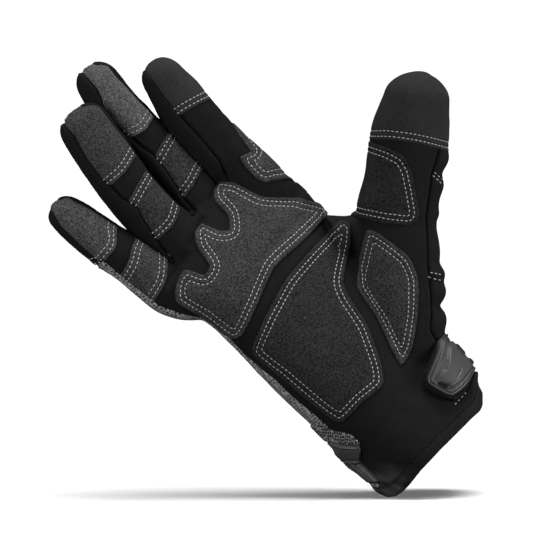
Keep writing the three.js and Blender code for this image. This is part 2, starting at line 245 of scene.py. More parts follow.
# Points, normals and padded faces of an object with its modifiers applied
def readMesh(obj):
    graph = bpy.context.evaluated_depsgraph_get()
    mesh = bpy.data.meshes.new_from_object(obj.evaluated_get(graph))
    bpy.data.objects.remove(obj)
    count = len(mesh.vertices)
    points, normals = np.empty(3 * count), np.empty(3 * count)
    mesh.vertices.foreach_get("co", points)
    mesh.vertices.foreach_get("normal", normals)
    sizes = np.empty(len(mesh.polygons), int)
    mesh.polygons.foreach_get("loop_total", sizes)
    loops = np.empty(sizes.sum(), int)
    mesh.polygons.foreach_get("vertices", loops)
    faces = np.full((len(sizes), faceRoom), -1)
    row = np.repeat(np.arange(len(sizes)), sizes)
    column = np.arange(len(loops)) - np.repeat(np.cumsum(sizes) - sizes, sizes)
    faces[row, column] = loops
    bpy.data.meshes.remove(mesh)
    return {"points": points.reshape(-1, 3), "normals": normals.reshape(-1, 3), "faces": faces}


faceRoom = 8  # most corners that a face of a cut sheet may have


# The glove's whole outer form as one even skin
def makeSkin():
    points, faces, start = [], [], 0
    for name, limb in limbs.items():
        some, these = loftLimb(limb, hand["palmSides"] if limb["level"] else hand["sides"])
        points.append(some)
        faces += [tuple(v + start for v in face) for face in these]
        start += len(some)
    obj = tempObject(np.vstack(points), faces)
    remesh = obj.modifiers.new("even", "REMESH")
    remesh.mode = "VOXEL"
    remesh.voxel_size = hand["voxel"]
    soften = obj.modifiers.new("soften", "SMOOTH")
    soften.factor = 0.5
    soften.iterations = hand["smoothing"]
    return readMesh(obj)


# Each point's place beside one limb: across, behind and along its middle line, and how far
# it lies outside the limb's own surface
def besideLimb(limb, points):
    last = len(limb["at"]) - 1
    if limb["level"]:
        near = np.searchsorted(limb["centre"][:, 2], points[:, 2]).clip(0, last)
    else:
        near = np.empty(len(points), int)
        for part in np.array_split(np.arange(len(points)), len(points) // 20000 + 1):
            away = ((points[part, None, :] - limb["centre"][None]) ** 2).sum(2)
            near[part] = away.argmin(1)
    gap = limb["at"][1] - limb["at"][0]
    ahead = ((points - limb["centre"][near]) * limb["forward"][near]).sum(1) / gap
    exact = np.clip(near + ahead, 0, last)
    low = np.minimum(exact.astype(int), last - 1)
    u = exact - low

    def mix(key):
        values = limb[key]
        t = u if values.ndim == 1 else u[:, None]
        return values[low] * (1 - t) + values[low + 1] * t

    offset = points - mix("centre")
    side = (offset * mix("side")).sum(1)
    back = (offset * mix("back")).sum(1)
    over = (offset * mix("forward")).sum(1)
    wide, thick = mix("halfWidth"), mix("halfThick")
    p = hand["roundness"]
    radius = (np.abs(side / wide) ** p + np.abs(back / thick) ** p) ** (1 / p)
    beyond = np.maximum(over, 0) / max(limb["tip"], 1)
    radius = np.sqrt(radius**2 + beyond**2)
    outside = (radius - 1) * np.minimum(wide, thick) + np.maximum(-over, 0)
    along = exact * gap + over
    girth = np.arctan2(back / thick, side / wide) * (wide + thick) / 2
    return {"side": side, "back": back, "along": along, "outside": outside, "round": girth}


# Strips between the fingers: how far each reaches back, and forward on its farther finger
webStrips = {
    "half": 5.5, "inset": 3.0, "blend": 1.5, "behind": 9.5, "farBehind": 6.5, "farAhead": 4.0,
    "rows": rowTable("thumbSide farSide across depth start", [
        ("index", "middle", 8.5, 6, 158),
        ("middle", "ring", -13.5, -4, 158),
        ("ring", "little", -34, -14, 149),
    ]),
}
# Seams down the palm side of the digits, from the base to the tip, left of which lies a strip
sideSeams = {
    "index": [(-2, 152), (6, 156), (13, 163), (16.5, 172), (17, 186.5), (17, 196.5), (18, 212),
              (19.5, 226), (20, 245)],
    "middle": [(-10.1, 150), (-8.1, 170), (-6.9, 173.1), (-4.9, 187.1), (-4.7, 195.4),
               (-6.5, 201.7), (-7.3, 209.8), (-8, 215), (-8.3, 221.5), (-6.5, 229), (-4.5, 233),
               (-3.5, 238), (-3.5, 245), (-6, 260)],
    "ring": [(-31.4, 148), (-30.9, 160), (-28, 176), (-26.2, 183), (-29, 190), (-29, 197),
             (-29.5, 204), (-28.5, 214), (-27, 222), (-25.5, 227), (-26, 240)],
    "little": [(-58.5, 172), (-57, 177.5), (-58.2, 187), (-58.5, 193), (-59, 200), (-57.5, 207),
               (-58, 220)],
}


# Area to the left of a seam, as an outline
def besideSeam(seam):
    return seam + [(seam[-1][0] - 60, seam[-1][1] + 40), (seam[0][0] - 60, seam[0][1])]


# Seams that part the back from the palm side, as outlines of what lies behind them
thumbBackArea = [
    (35.5, 34), (37.4, 44.4), (44.5, 51), (57.5, 68), (73, 86.5), (88, 99), (100.5, 107),
    (111, 114), (118, 125), (119.5, 138), (120, 160), (180, 160), (180, 0), (70, 10), (38, 14),
]
knitArea = [
    (-56, 174), (-54.5, 159), (-51, 140), (-44.5, 128), (-40.5, 122.5), (-37, 108),
    (-37, 98), (-35.6, 87), (-33.7, 76.4), (-33.2, 66), (-31.9, 57.1), (-30.5, 46),
    (-30, 40.6), (-28, 34), (-27, 27), (-30.5, 20.9), (-30.4, 9), (-32, 6), (-36, 5),
    (-120, 5), (-120, 177),
]
thumbSeam = {"at": (58, 4.7, 90.5), "blend": 2.5, "backBlend": 1.2}
# How much farther back the palm's leather reaches at the little finger's tip and on the web
frontReach = {"littleTip": 7, "littleFrom": 56, "crotch": 4}


# Distance inside a closed outline seen from the palm side, below nought outside
def insideOutline(corners, points):
    a = np.asarray(corners, float)
    b = np.roll(a, -1, axis=0)
    p = points[:, [0, 2]]
    nearest = np.full(len(p), 1e9)
    crossings = np.zeros(len(p), int)
    for (ax, ay), (bx, by) in zip(a, b):
        ex, ey = bx - ax, by - ay
        t = np.clip(((p[:, 0] - ax) * ex + (p[:, 1] - ay) * ey) / (ex * ex + ey * ey), 0, 1)
        away = np.hypot(p[:, 0] - ax - t * ex, p[:, 1] - ay - t * ey)
        nearest = np.minimum(nearest, away)
        spans = (ay > p[:, 1]) != (by > p[:, 1])
        with np.errstate(divide="ignore", invalid="ignore"):
            left = p[:, 0] < ax + (p[:, 1] - ay) * ex / ey if ey else np.zeros(len(p), bool)
        crossings += spans & left
    return np.where(crossings % 2 == 1, nearest, -nearest)


# A smooth step from nought to one
def stepUp(values, wide):
    return 1 / (1 + np.exp(-np.clip(values / wide, -60, 60)))


# One at nought, falling away on both sides over a width
def bell(values, wide):
    return np.exp(-((values / wide) ** 2))


# Share of full height near a cut edge that is rounded over a width
def rounded(away, wide):
    return np.sqrt(np.clip(1 - (1 - np.clip(away / wide, 0, 1)) ** 2, 0, 1))


digitColumn = {"side": 0, "back": 1, "along": 2, "outside": 3}


# A wall's height, which falls to a base share of itself at its rounded edge
def edged(wall, base, edge):
    return wall * (base + (1 - base) * edge)


# Signed distances, in millimetres, that the panels' edges follow: above nought is inside
def measure(sheet):
    points = sheet["points"]
    beside = {name: besideLimb(limb, points) for name, limb in limbs.items()}
    weights = {
        name: bell(np.clip(b["outside"], -8, 30), hand["blend"]) + 1e-9
        for name, b in beside.items()
    }
    total = sum(weights.values())
    front = sum(weights[name] * -b["back"] for name, b in beside.items()) / total
    little = beside["little"]
    tipSide = stepUp(little["along"] - frontReach["littleFrom"], 1.5) * stepUp(-little["side"], 1)
    front = front + frontReach["littleTip"] * tipSide * weights["little"] / total
    front = front + frontReach["crotch"] * weights["crotch"] / total
    front = np.minimum.reduce([
        front, -insideOutline(thumbBackArea, points), -insideOutline(knitArea, points),
    ])
    thumb = beside["thumb"]
    past = thumb["along"] - thumbStart
    thumbArea = np.minimum(past, thumbSeam["blend"] - thumb["outside"])
    thumbWhole = thumbSeam["backBlend"] - thumb["outside"]
    webs = []
    for row in webStrips["rows"]:
        near, far = beside[row["thumbSide"]], beside[row["farSide"]]
        onNear = np.minimum.reduce([
            insideOutline(besideSeam(sideSeams[row["thumbSide"]]), points),
            webStrips["behind"] - near["back"], webStrips["blend"] - near["outside"],
        ])
        onFar = np.minimum.reduce([
            webStrips["farAhead"] + far["back"], webStrips["farBehind"] - far["back"],
            far["side"] - webStrips["inset"], webStrips["blend"] - far["outside"],
        ])
        above = points[:, 2] - row["start"]
        crotch = np.minimum.reduce([
            webStrips["half"] - np.abs(points[:, 0] - row["across"]),
            webStrips["half"] - np.abs(points[:, 1] - row["depth"]),
            above, 2 * webStrips["half"] - above,
        ])
        webs.append(np.maximum(np.minimum(np.maximum(onNear, onFar), above), crotch))
    sheet["front"] = front
    sheet["thumbArea"] = thumbArea
    sheet["thumbWhole"] = thumbWhole
    sheet["webs"] = np.stack(webs, 1)
    for name, b in beside.items():
        sheet[name] = np.stack([b[key] for key in digitColumn], 1)
    owner = np.stack([weights[name] for name in limbs], 1).argmax(1)
    weave = np.stack([np.stack([beside[n]["round"], beside[n]["along"]], 1) for n in limbs], 1)
    sheet["weave"] = weave[np.arange(len(points)), owner]
    return sheet


thumbStart = besideLimb(limbs["thumb"], np.array([thumbSeam["at"]], float))["along"][0]


# Cuts a sheet along the nought line of a value, and keeps where the value is above it
def clip(sheet, values):
    faces = sheet["faces"]
    valid = faces >= 0
    inside = values > 0
    hits = (inside[faces] & valid).sum(1)
    whole = faces[(hits == valid.sum(1))]
    crossing = faces[(hits > 0) & (hits < valid.sum(1))].tolist()
    cuts, pairs, polys = {}, [], []
    for face in crossing:
        loop = [v for v in face if v >= 0]
        poly = []
        for a, b in zip(loop, loop[1:] + loop[:1]):
            if inside[a]:
                poly.append(a)
            if inside[a] != inside[b]:
                key = (a, b) if a < b else (b, a)
                if key not in cuts:
                    cuts[key] = len(values) + len(pairs)
                    pairs.append(key)
                poly.append(cuts[key])
        if 3 <= len(poly) <= faceRoom:
            polys.append(poly + [-1] * (faceRoom - len(poly)))
    if pairs:
        a, b = np.array(pairs).T
        t = np.clip(values[a] / (values[a] - values[b]), 0, 1)
        whole = np.vstack([whole, np.array(polys, int)]) if polys else whole
    kept = np.unique(whole[whole >= 0])
    rename = np.full(len(values) + len(pairs) + 1, -1)
    rename[kept] = np.arange(len(kept))
    out = {"faces": rename[whole]}
    for key, old in sheet.items():
        if key == "faces":
            continue
        if pairs:
            w = t if old.ndim == 1 else t[:, None]
            old = np.concatenate([old, old[a] * (1 - w) + old[b] * w])
        out[key] = old[kept]
    return out


# A sheet's points moved out along its normals
def raised(sheet, lift):
    return sheet["points"] + sheet["normals"] * lift


# A sheet cut at a distance that it keeps as its edge
def cutSheet(part, away):
    return clip({**part, "edge": away}, away)


# A sheet moved out to a piece's outer face, which stitches are laid on
def topOf(sheet, lift):
    return {**sheet, "points": raised(sheet, np.asarray(lift)[..., None])}


# Part of the skin near where a value is above nought, with every face split into four
def finerPart(values, margin=3):
    near = values > -margin
    faces = skin["faces"]
    chosen = faces[(near[faces] | (faces < 0)).all(1)]
    kept = np.unique(chosen[chosen >= 0])
    rename = np.full(len(values) + 1, -1)
    rename[kept] = np.arange(len(kept))
    loops = [[v for v in face if v >= 0] for face in rename[chosen].tolist()]
    obj = tempObject(skin["points"][kept], loops)
    finer = obj.modifiers.new("finer", "SUBSURF")
    finer.levels = finer.render_levels = 1
    return measure(readMesh(obj))


# A finer part of the skin, cut where a function of its points is above nought
def cutPart(value, margin=3):
    part = finerPart(value(skin), margin)
    return cutSheet(part, value(part))


# Directed edges that only one face has
def rimOf(faces):
    starts, ends = [], []
    for k in range(faceRoom):
        here = faces[:, k]
        after = faces[:, (k + 1) % faceRoom]
        after = np.where((after < 0) | (k == faceRoom - 1), faces[:, 0], after)
        good = here >= 0
        starts.append(here[good])
        ends.append(after[good])
    a, b = np.concatenate(starts), np.concatenate(ends)
    room = faces.max() + 1
    alone = ~np.isin(a * room + b, b * room + a)
    return a[alone], b[alone]


lean = math.radians(hand["lean"])


def toWorld(points):
    x, y, z = points.T
    across = x * math.cos(lean) - z * math.sin(lean)
    up = x * math.sin(lean) + z * math.cos(lean)
    return np.stack([across, y, up], 1) / 1000


# The cuff's edge bows out at its middle and turns up at both corners
cuffBow = {
    "across": [-36, -34, -32.8, -31, -27.7, -24, -18, -10, 4, 24, 29.3, 31.9, 34, 35.5, 37, 40],
    "rise": [5, 3, 1, -1.6, -3, -3.4, -2.6, -1.2, -0.2, 0, -0.4, 0.5, 2.6, 4, 6.2, 8.5],
    "reach": 24,
}


def bowed(points):
    rise = np.interp(points[:, 0], cuffBow["across"], cuffBow["rise"])
    fade = np.clip(1 - points[:, 2] / cuffBow["reach"], 0, 1) ** 2
    out = points.copy()
    out[:, 2] += rise * fade
    return out


wallBuild = {"merge": 0.00008, "least": 0.00002, "sharp": 55}


# A closed wall from a sheet: its outer face, its inner face and the rim that joins them
def wallObject(name, sheet, outer, inner, material, tone=1.0):
    faces, count = sheet["faces"], len(sheet["points"])
    outer = np.broadcast_to(outer, (count,))
    inner = np.broadcast_to(inner, (count,))
    both = np.vstack([raised(sheet, outer[:, None]), raised(sheet, inner[:, None])])
    a, b = rimOf(faces)
    polys = [[v for v in face if v >= 0] for face in faces.tolist()]
    polys += [[v + count for v in reversed(face)] for face in polys]
    polys += np.stack([b, a, a + count, b + count], 1).tolist()
    mesh = bpy.data.meshes.new(name)
    mesh.from_pydata(toWorld(bowed(both)).tolist(), [], polys)
    weave = mesh.attributes.new("weave", "FLOAT_VECTOR", "POINT")
    flat = np.zeros((2 * count, 3))
    flat[:, :2] = np.vstack([sheet["weave"], sheet["weave"]])
    weave.data.foreach_set("vector", flat.ravel())
    toned = mesh.attributes.new("tone", "FLOAT", "POINT")
    toned.data.foreach_set("value", np.tile(np.broadcast_to(tone, (count,)), 2))
    tidy = bmesh.new()
    tidy.from_mesh(mesh)
    bmesh.ops.remove_doubles(tidy, verts=tidy.verts, dist=wallBuild["merge"])
    bmesh.ops.dissolve_degenerate(tidy, edges=tidy.edges, dist=wallBuild["least"])
    tidy.to_mesh(mesh)
    tidy.free()
    mesh.shade_smooth()
    mesh.set_sharp_from_angle(angle=math.radians(wallBuild["sharp"]))
    mesh.materials.append(material)
    return addObject(f"dressed_{name}", mesh)  # the solid has the plain name


def place(obj, slot, *nodes):
    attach(obj, "root")
    if nodes:
        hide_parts(*nodes)
    return obj


# A closed curve through an outline's points, with sides nearly straight between them
def curved(corners, steps=8, slack=0.3):
    p = np.asarray(corners, float)[:, None]
    after = np.roll(p, -1, 0)
    slope = slack * (after - np.roll(p, 1, 0))
    u = (np.arange(steps) / steps)[None, :, None]
    return blendCurve(u, p, after, slope, np.roll(slope, -1, 0)).reshape(-1, 2)


# Distance above a line that crosses a digit, given by points across it
def aboveLine(line, points):
    x, y = np.asarray(line, float).T
    slopes = np.gradient(y, x)
    fine = np.linspace(x[0], x[-1], 40)
    i = np.clip(np.searchsorted(x, fine, side="right") - 1, 0, len(x) - 2)
    span = x[i + 1] - x[i]
    u = (fine - x[i]) / span
    height = blendCurve(u, y[i], y[i + 1], slopes[i], slopes[i + 1], span)
    steep = np.gradient(height, fine)
    at = np.clip(points[:, 0], fine[0], fine[-1])
    rise = points[:, 2] - np.interp(at, fine, height)
    return rise / np.sqrt(1 + np.interp(at, fine, steep) ** 2)


# Waves of several directions and lengths, for cloth that never lies quite flat
def ripple(points, length, count, salt):
    rng = np.random.default_rng(hand["seed"] + salt)
    out = np.zeros(len(points))
    for _ in range(count):
        direction = rng.normal(size=3)
        direction /= np.linalg.norm(direction)
        wave = 2 * np.pi / (length * rng.uniform(0.7, 1.4))
        out += np.sin(points @ direction * wave + rng.uniform(0, 2 * np.pi))
    return out / math.sqrt(count)


# Folds pressed into the skin: a line on the palm side, how deep and how wide. A depth below
# nought stands out as a ridge.
folds = rowTable("startAcross startAlong endAcross endAlong deep wide", [
    (-1, 124, 31, 126, 0.9, 2.6),
    (-2, 129, 33, 131, -0.8, 3.6),
    (46, 104, 70, 84, 0.9, 2.4),
    (40, 118, 47, 108, 0.9, 2.6),
    (-40, 146, -26, 150, 1.1, 1.8),
    (-20, 152, -8, 157, 1.2, 1.8),
    (2, 162, 14, 166, 0.7, 1.8),
    (-30, 22, 5, 30, 0.5, 3.5),
    (-18, 9, 2, 22, 0.5, 3.0),
    (10, 30, 18, 46, 0.6, 3.0),
    (-22, 14, -12, 4, 1.0, 1.8),
    (-27, 9, -18, 1, -1.1, 2.0),
    (-27.5, 7.5, -19, 6, -0.8, 1.2),
    (-27, 3, -18, 4, 0.9, 1.0),
])
# Gathers behind the thumb: distance along it, height and length of each bulge
gathers = rowTable("along high long", [
    (24.5, 1.5, 4.5), (31.5, -1.6, 2.4), (38.5, 1.7, 4), (47, 1.6, 3.4), (53, -0.6, 3),
    (80, 1.4, 6), (90, 0.2, 3), (94.5, 1.2, 3.2), (100, -0.4, 2.4), (107, 1.4, 4),
])

# Waves of the whole skin: height, length, how many, and a number for their random draws
waves = rowTable("high length count salt", [(0.16, 26, 12, 1), (0.07, 9, 16, 2)])
# Cloth pushed out below the tab
cuffBulge = {"high": 6.0, "from": 31, "along": 10, "long": 4.6}


# How far each point of the skin moves outward
def pressFolds(sheet):
    points, front = sheet["points"], sheet["front"]
    move = sum(w["high"] * ripple(points, w["length"], w["count"], w["salt"]) for w in waves)
    flat = points[:, [0, 2]]
    facing = stepUp(front, 1.5)
    for row in folds:
        a = np.array([row["startAcross"], row["startAlong"]], float)
        e = np.array([row["endAcross"], row["endAlong"]], float) - a
        t = ((flat - a) @ e) / (e @ e)
        away = np.linalg.norm(flat - a - np.clip(t, 0, 1)[:, None] * e, axis=1)
        bend = 0.8 * np.sin(4 * t + row["deep"])
        move -= row["deep"] * facing * bell(away + 0.3 * bend, row["wide"])
    thumb = sheet["thumb"]
    along, outside = thumb[:, digitColumn["along"]], thumb[:, digitColumn["outside"]]
    own = bell(np.maximum(outside - 2, 0), 3) * stepUp(-front - 1.2, 0.8)
    own *= stepUp(insideOutline(thumbBackArea, points), 1)
    for row in gathers:
        move += row["high"] * own * bell(along - row["along"], row["long"])
    beside = cuffBulge["high"] * stepUp(points[:, 0] - cuffBulge["from"], 1)
    return move + beside * bell(points[:, 2] - cuffBulge["along"], cuffBulge["long"])


# Each point's normal, from the faces that meet there
def pointNormals(points, faces):
    total = np.zeros((len(faces), 3))
    first = points[faces[:, 0]]
    for k in range(1, faceRoom - 1):
        good = faces[:, k + 1] >= 0
        a, b = points[faces[good, k]], points[faces[good, k + 1]]
        total[good] += np.cross(a - first[good], b - first[good])
    normals = np.zeros_like(points)
    for k in range(faceRoom):
        good = faces[:, k] >= 0
        np.add.at(normals, faces[good, k], total[good])
    return unit(normals)


print("making the skin")
skin = measure(makeSkin())
skin["points"] = raised(skin, pressFolds(skin)[:, None])
skin["normals"] = pointNormals(skin["points"], skin["faces"])
print("skin has", len(skin["points"]), "points")


# Materials

def newGroup(name, inputs, outputs):
    group = bpy.data.node_groups.new(name, "ShaderNodeTree")
    for label, value in inputs.items():
        socket = group.interface.new_socket(label, in_out="INPUT", socket_type="NodeSocketFloat")
        socket.default_value = value
    for label in outputs:
        group.interface.new_socket(label, in_out="OUTPUT", socket_type="NodeSocketFloat")
    return group, group.nodes.new("NodeGroupInput").outputs, group.nodes.new("NodeGroupOutput")


# Gives a node's inputs their values, or links them where a value is another node's output
def feed(tree, node, inputs):
    for label, value in inputs.items():
        if isinstance(value, bpy.types.NodeSocket):
            tree.links.new(value, node.inputs[label])
        else:
            node.inputs[label].default_value = value


def addNode(tree, kind, inputs=None, **settings):
    node = tree.nodes.new(kind)
    for key, value in settings.items():
        setattr(node, key, value)
    feed(tree, node, inputs or {})
    return node


def mathNode(tree, operation, *values):
    node = addNode(tree, "ShaderNodeMath", dict(enumerate(values)), operation=operation)
    return node.outputs[0]


def noiseNode(tree, vector, scale, detail, roughness):
    node = addNode(tree, "ShaderNodeTexNoise", {
        "Vector": vector, "Scale": scale, "Detail": detail, "Roughness": roughness,
    })
    return node.outputs["Fac"]


# Nap of leather or suede: fine fibres over cloudy patches
def makeNapGroup():
    group, start, end = newGroup("nap", {"Fibre": 1500.0, "Cloud": 120.0}, ("Shade", "Height"))
    spot = addNode(group, "ShaderNodeTexCoord").outputs["Object"]
    fibre = noiseNode(group, spot, start["Fibre"], 2.0, 0.6)
    coarse = noiseNode(group, spot, mathNode(group, "MULTIPLY", start["Fibre"], 0.5), 1.0, 0.5)
    cloud = noiseNode(group, spot, start["Cloud"], 2.0, 0.5)
    mixed = mathNode(group, "MULTIPLY_ADD", fibre, 0.7, mathNode(group, "MULTIPLY", coarse, 0.3))
    sharp = addNode(group, "ShaderNodeMapRange",
                    {"Value": mixed, "From Min": 0.36, "From Max": 0.64})
    cloud = mathNode(group, "MULTIPLY", cloud, 0.2)
    shade = mathNode(group, "MULTIPLY_ADD", sharp.outputs[0], 0.8, cloud)
    feed(group, end, {"Shade": shade, "Height": mixed})
    return group


# Open net of knitted strands round small dark holes
def makeNetGroup():
    group, start, end = newGroup("net", {"Wide": 1.1, "Tall": 1.7, "Open": 0.3},
                                 ("Shade", "Height"))
    weave = addNode(group, "ShaderNodeAttribute", attribute_name="weave")
    parts = addNode(group, "ShaderNodeSeparateXYZ", {0: weave.outputs["Vector"]}).outputs
    joined = addNode(group, "ShaderNodeCombineXYZ", {
        axis: mathNode(group, "DIVIDE", parts[axis], start[label])
        for axis, label in (("X", "Wide"), ("Y", "Tall"))
    })
    cells = addNode(group, "ShaderNodeTexVoronoi", {
        "Vector": joined.outputs[0], "Scale": 1.0, "Randomness": 0.55,
    }, feature="DISTANCE_TO_EDGE")
    hole = addNode(group, "ShaderNodeMapRange", {
        "Value": cells.outputs["Distance"], "From Min": 0.05, "From Max": start["Open"],
        "To Min": 1.0, "To Max": 0.0,
    }, interpolation_type="SMOOTHSTEP").outputs[0]
    spot = addNode(group, "ShaderNodeTexCoord").outputs["Object"]
    fuzz = noiseNode(group, spot, 2200.0, 2.0, 0.6)
    strands = mathNode(group, "MULTIPLY", hole, 0.75)
    feed(group, end, {"Shade": mathNode(group, "MULTIPLY_ADD", fuzz, 0.35, strands),
                      "Height": hole})
    return group


def grey(value):
    return (value, value, value * 1.03, 1)


def newMaterial(look):
    material = bpy.data.materials.new(f"made_{look['name']}")
    material.use_nodes = True
    tree = material.node_tree
    pattern = addNode(tree, "ShaderNodeGroup", node_tree=look["pattern"])
    feed(tree, pattern, look["values"])
    ramp = addNode(tree, "ShaderNodeValToRGB", {"Fac": pattern.outputs["Shade"]})
    dark, light = ramp.color_ramp.elements
    dark.color, light.color = grey(look["dark"]), grey(look["light"])
    dark.position, light.position = look["spread"]
    colour = ramp.outputs["Color"]
    if look["toned"]:
        tone = addNode(tree, "ShaderNodeAttribute", attribute_name="tone").outputs["Fac"]
        scaled = addNode(tree, "ShaderNodeVectorMath", {0: colour, "Scale": tone},
                         operation="SCALE")
        colour = scaled.outputs[0]
    bump = addNode(tree, "ShaderNodeBump", {
        "Strength": look["bump"], "Distance": look["relief"], "Height": pattern.outputs["Height"],
    })
    feed(tree, tree.nodes["Principled BSDF"], {
        "Base Color": colour, "Normal": bump.outputs["Normal"], "Roughness": look["rough"],
        "Specular IOR Level": look["gloss"],
    })
    return material


napGroup = makeNapGroup()
netGroup = makeNetGroup()


finishes = rowTable("name dark light rough gloss bump relief spread pattern values toned", [
    ("black_leather", 0.009, 0.017, 0.8, 0.08, 0.35, 0.0003, (0.2, 0.8), napGroup,
     {"Fibre": 2600.0, "Cloud": 60.0}, True),
    ("grey_suede", 0.012, 0.09, 0.95, 0.05, 1.0, 0.0008, (0.15, 0.95), napGroup,
     {"Fibre": 1950.0, "Cloud": 90.0}, True),
    ("tip_suede", 0.022, 0.12, 0.95, 0.05, 0.9, 0.0006, (0.15, 0.95), napGroup,
     {"Fibre": 1850.0, "Cloud": 110.0}, True),
    ("grey_knit", 0.012, 0.36, 0.9, 0.1, 1.0, 0.0006, (0.12, 0.95), netGroup,
     {"Wide": 1.2, "Tall": 1.5, "Open": 0.3}, True),
    ("open_mesh", 0.006, 0.34, 0.85, 0.15, 1.0, 0.0008, (0.3, 0.95), netGroup,
     {"Wide": 0.8, "Tall": 1.6, "Open": 0.22}, True),
    ("webbing", 0.038, 0.07, 0.55, 0.35, 0.25, 0.0003, (0.2, 0.8), napGroup,
     {"Fibre": 2000.0, "Cloud": 80.0}, True),
    ("rubber", 0.035, 0.05, 0.5, 0.35, 0.1, 0.0001, (0.2, 0.8), napGroup,
     {"Fibre": 3000.0, "Cloud": 80.0}, True),
    ("thread", 0.35, 0.62, 0.7, 0.2, 0.5, 0.0002, (0.2, 0.8), napGroup,
     {"Fibre": 3500.0, "Cloud": 300.0}, False),
    ("dark_thread", 0.006, 0.02, 0.7, 0.3, 0.5, 0.0002, (0.2, 0.8), napGroup,
     {"Fibre": 3500.0, "Cloud": 300.0}, False),
])
materials = {look["name"]: newMaterial(look) for look in finishes}


# Panels: the skin parted along its seams
panelEdge = {"groove": 0.7, "grooveWide": 0.6, "puff": 0.45, "puffAt": 1.5, "puffWide": 0.7}


def seamProfile(away):
    e = panelEdge
    dip = e["groove"] * bell(away, e["grooveWide"])
    return e["puff"] * bell(away - e["puffAt"], e["puffWide"]) - dip


aboveHem = skin["points"][:, 2] - hand["hemWidth"]
webMost = skin["webs"].max(1)
panels = {
    "palm_panel": (materials["black_leather"], [skin["front"], -webMost]),
    "back_panel": (materials["grey_knit"], [-skin["front"], -skin["thumbWhole"], -webMost]),
    "thumb_back": (materials["black_leather"], [-skin["front"], skin["thumbWhole"]]),
}
for i, row in enumerate(webStrips["rows"]):
    key = f"fourchette_{row['thumbSide']}_{row['farSide']}"
    panels[key] = (materials["black_leather"], [skin["webs"][:, i]])
panelTone = 0.6  # painted light: the panels are the caps' own leather, coloured darker here while the caps are coloured lighter where the light falls on the tips
# A strip's share of the seam's profile, its height, and where from its edge it rises
strip = {"profile": 0.6, "lift": 0.7, "from": 0.5, "rise": 0.25}


cornerHighlight = {"across": -29, "along": 5, "reach": 7.5, "lighter": 3.4, "crumple": 0.5}


# Painted highlight: the cloth at the low corner of the cuff is coloured lighter, broken up as
# crumpled cloth catches the light
def cornerPaintedHighlight(sheet):
    x, y, z = sheet["points"].T
    away = np.hypot(x - cornerHighlight["across"], z - cornerHighlight["along"])
    crumple = 1 + cornerHighlight["crumple"] * ripple(sheet["points"], 6, 10, 9)
    return cornerHighlight["lighter"] * bell(away, cornerHighlight["reach"]) * np.clip(crumple, 0, 2)


tops = {}
for name, (material, values) in panels.items():
    inside = np.minimum.reduce(values)
    sheet = clip({**skin, "edge": inside}, np.minimum(inside, aboveHem) - hand["seamGap"])
    outer = seamProfile(sheet["edge"])
    if name.startswith("fourchette"):
        finger = name.split("_")[1]
        near = stepUp(insideOutline(besideSeam(sideSeams[finger]), sheet["points"]), 0.5)
        outer = strip["profile"] * outer
        outer += strip["lift"] * near * stepUp(sheet["edge"] - strip["from"], strip["rise"])
    # Painted light: the leather panels take the darker panel tone and the painted highlight at the
    # cuff's corner; the knit keeps its own colour
    tone = 1.0 if material is materials["grey_knit"] else panelTone + cornerPaintedHighlight(sheet)
    piece = wallObject(name, sheet, outer, -hand["wall"], material, tone)
    covered = (name, "thumb_front") if name == "palm_panel" else (name,)
    place(piece, material.name.removeprefix("made_"), *covered)
    tops[name] = topOf(sheet, outer)
print("panels made")


# Suede patches and black caps, sewn on over the panels
patchBuild = {"lift": 0.25, "under": 0.1, "round": 1.0, "base": 0.45, "rowDip": 0.3,
              "rowWide": 0.45, "seamDip": 0.25, "seamWide": 0.6, "thin": 0.75, "thinReach": 2,
              "crownReach": 5}
# Thickness of each kind of patch, and how much its middle swells
patchWall = {"palm": (1.0, 0.5), "side": (0.7, 0.2), "digit": (0.8, 0.25), "cap": (0.5, 0.0)}
palmPatches = {
    "bridge_patch": [
        (5, 163.5), (2, 159), (2, 150), (-2, 144.5), (-6, 147.5), (-9.5, 155), (-14.5, 155),
        (-18.5, 149), (-20, 138.5), (-25, 137), (-30, 144.5), (-37.5, 142.5), (-43, 136),
        (-38.5, 121), (-35.5, 106), (-30, 103.5), (-14.5, 110), (2, 117), (20, 117), (36, 117.5),
        (39, 121), (31.5, 134), (20, 146), (15, 159), (9.5, 164.5),
    ],
    "heel_patch": [
        (40, 112), (42, 107), (35, 99.5), (22, 90), (19, 83), (16.5, 67), (9, 48.5), (3, 41),
        (-10, 41.5), (-23, 41), (-26.5, 50), (-30, 75), (-32.3, 94), (-18, 102), (2, 109),
        (19, 111), (31.5, 111.5),
    ],
    "thenar_patch": [
        (46.5, 99.5), (50, 95), (53, 78), (49, 66.5), (37.5, 54), (25, 44), (16, 41.5),
        (17, 49.5), (22, 65.5), (25, 83), (35.5, 92),
    ],
}
saddleOutline = [
    (76, 131), (81, 122), (83.5, 115), (82, 108), (77, 99.5), (71, 90), (67.5, 87.5),
    (63.5, 88), (55.5, 97), (46, 109.5), (40, 120), (58, 140),
]
indexOutline = [
    (60, 188), (34, 188), (32.4, 180), (30.8, 171), (30.5, 165), (25, 167), (23.8, 164),
    (23.7, 158), (24, 153), (26, 149.4), (29.5, 147.5), (34, 144), (36, 140.8),
    (36.9, 134), (38.2, 127), (60, 127),
]
# Patches at the side: how far each reaches behind the palm's edge, the digit that it stays
# near, and the height below which it thins away
sidePatches = rowTable("name outline reach digit tail", [
    ("thumb_saddle_patch", saddleOutline, 4, "thumb", None),
    ("index_side_patch", indexOutline, 5, None, 133),
])
digitNear = 9.0  # how far outside its digit such a patch may lie
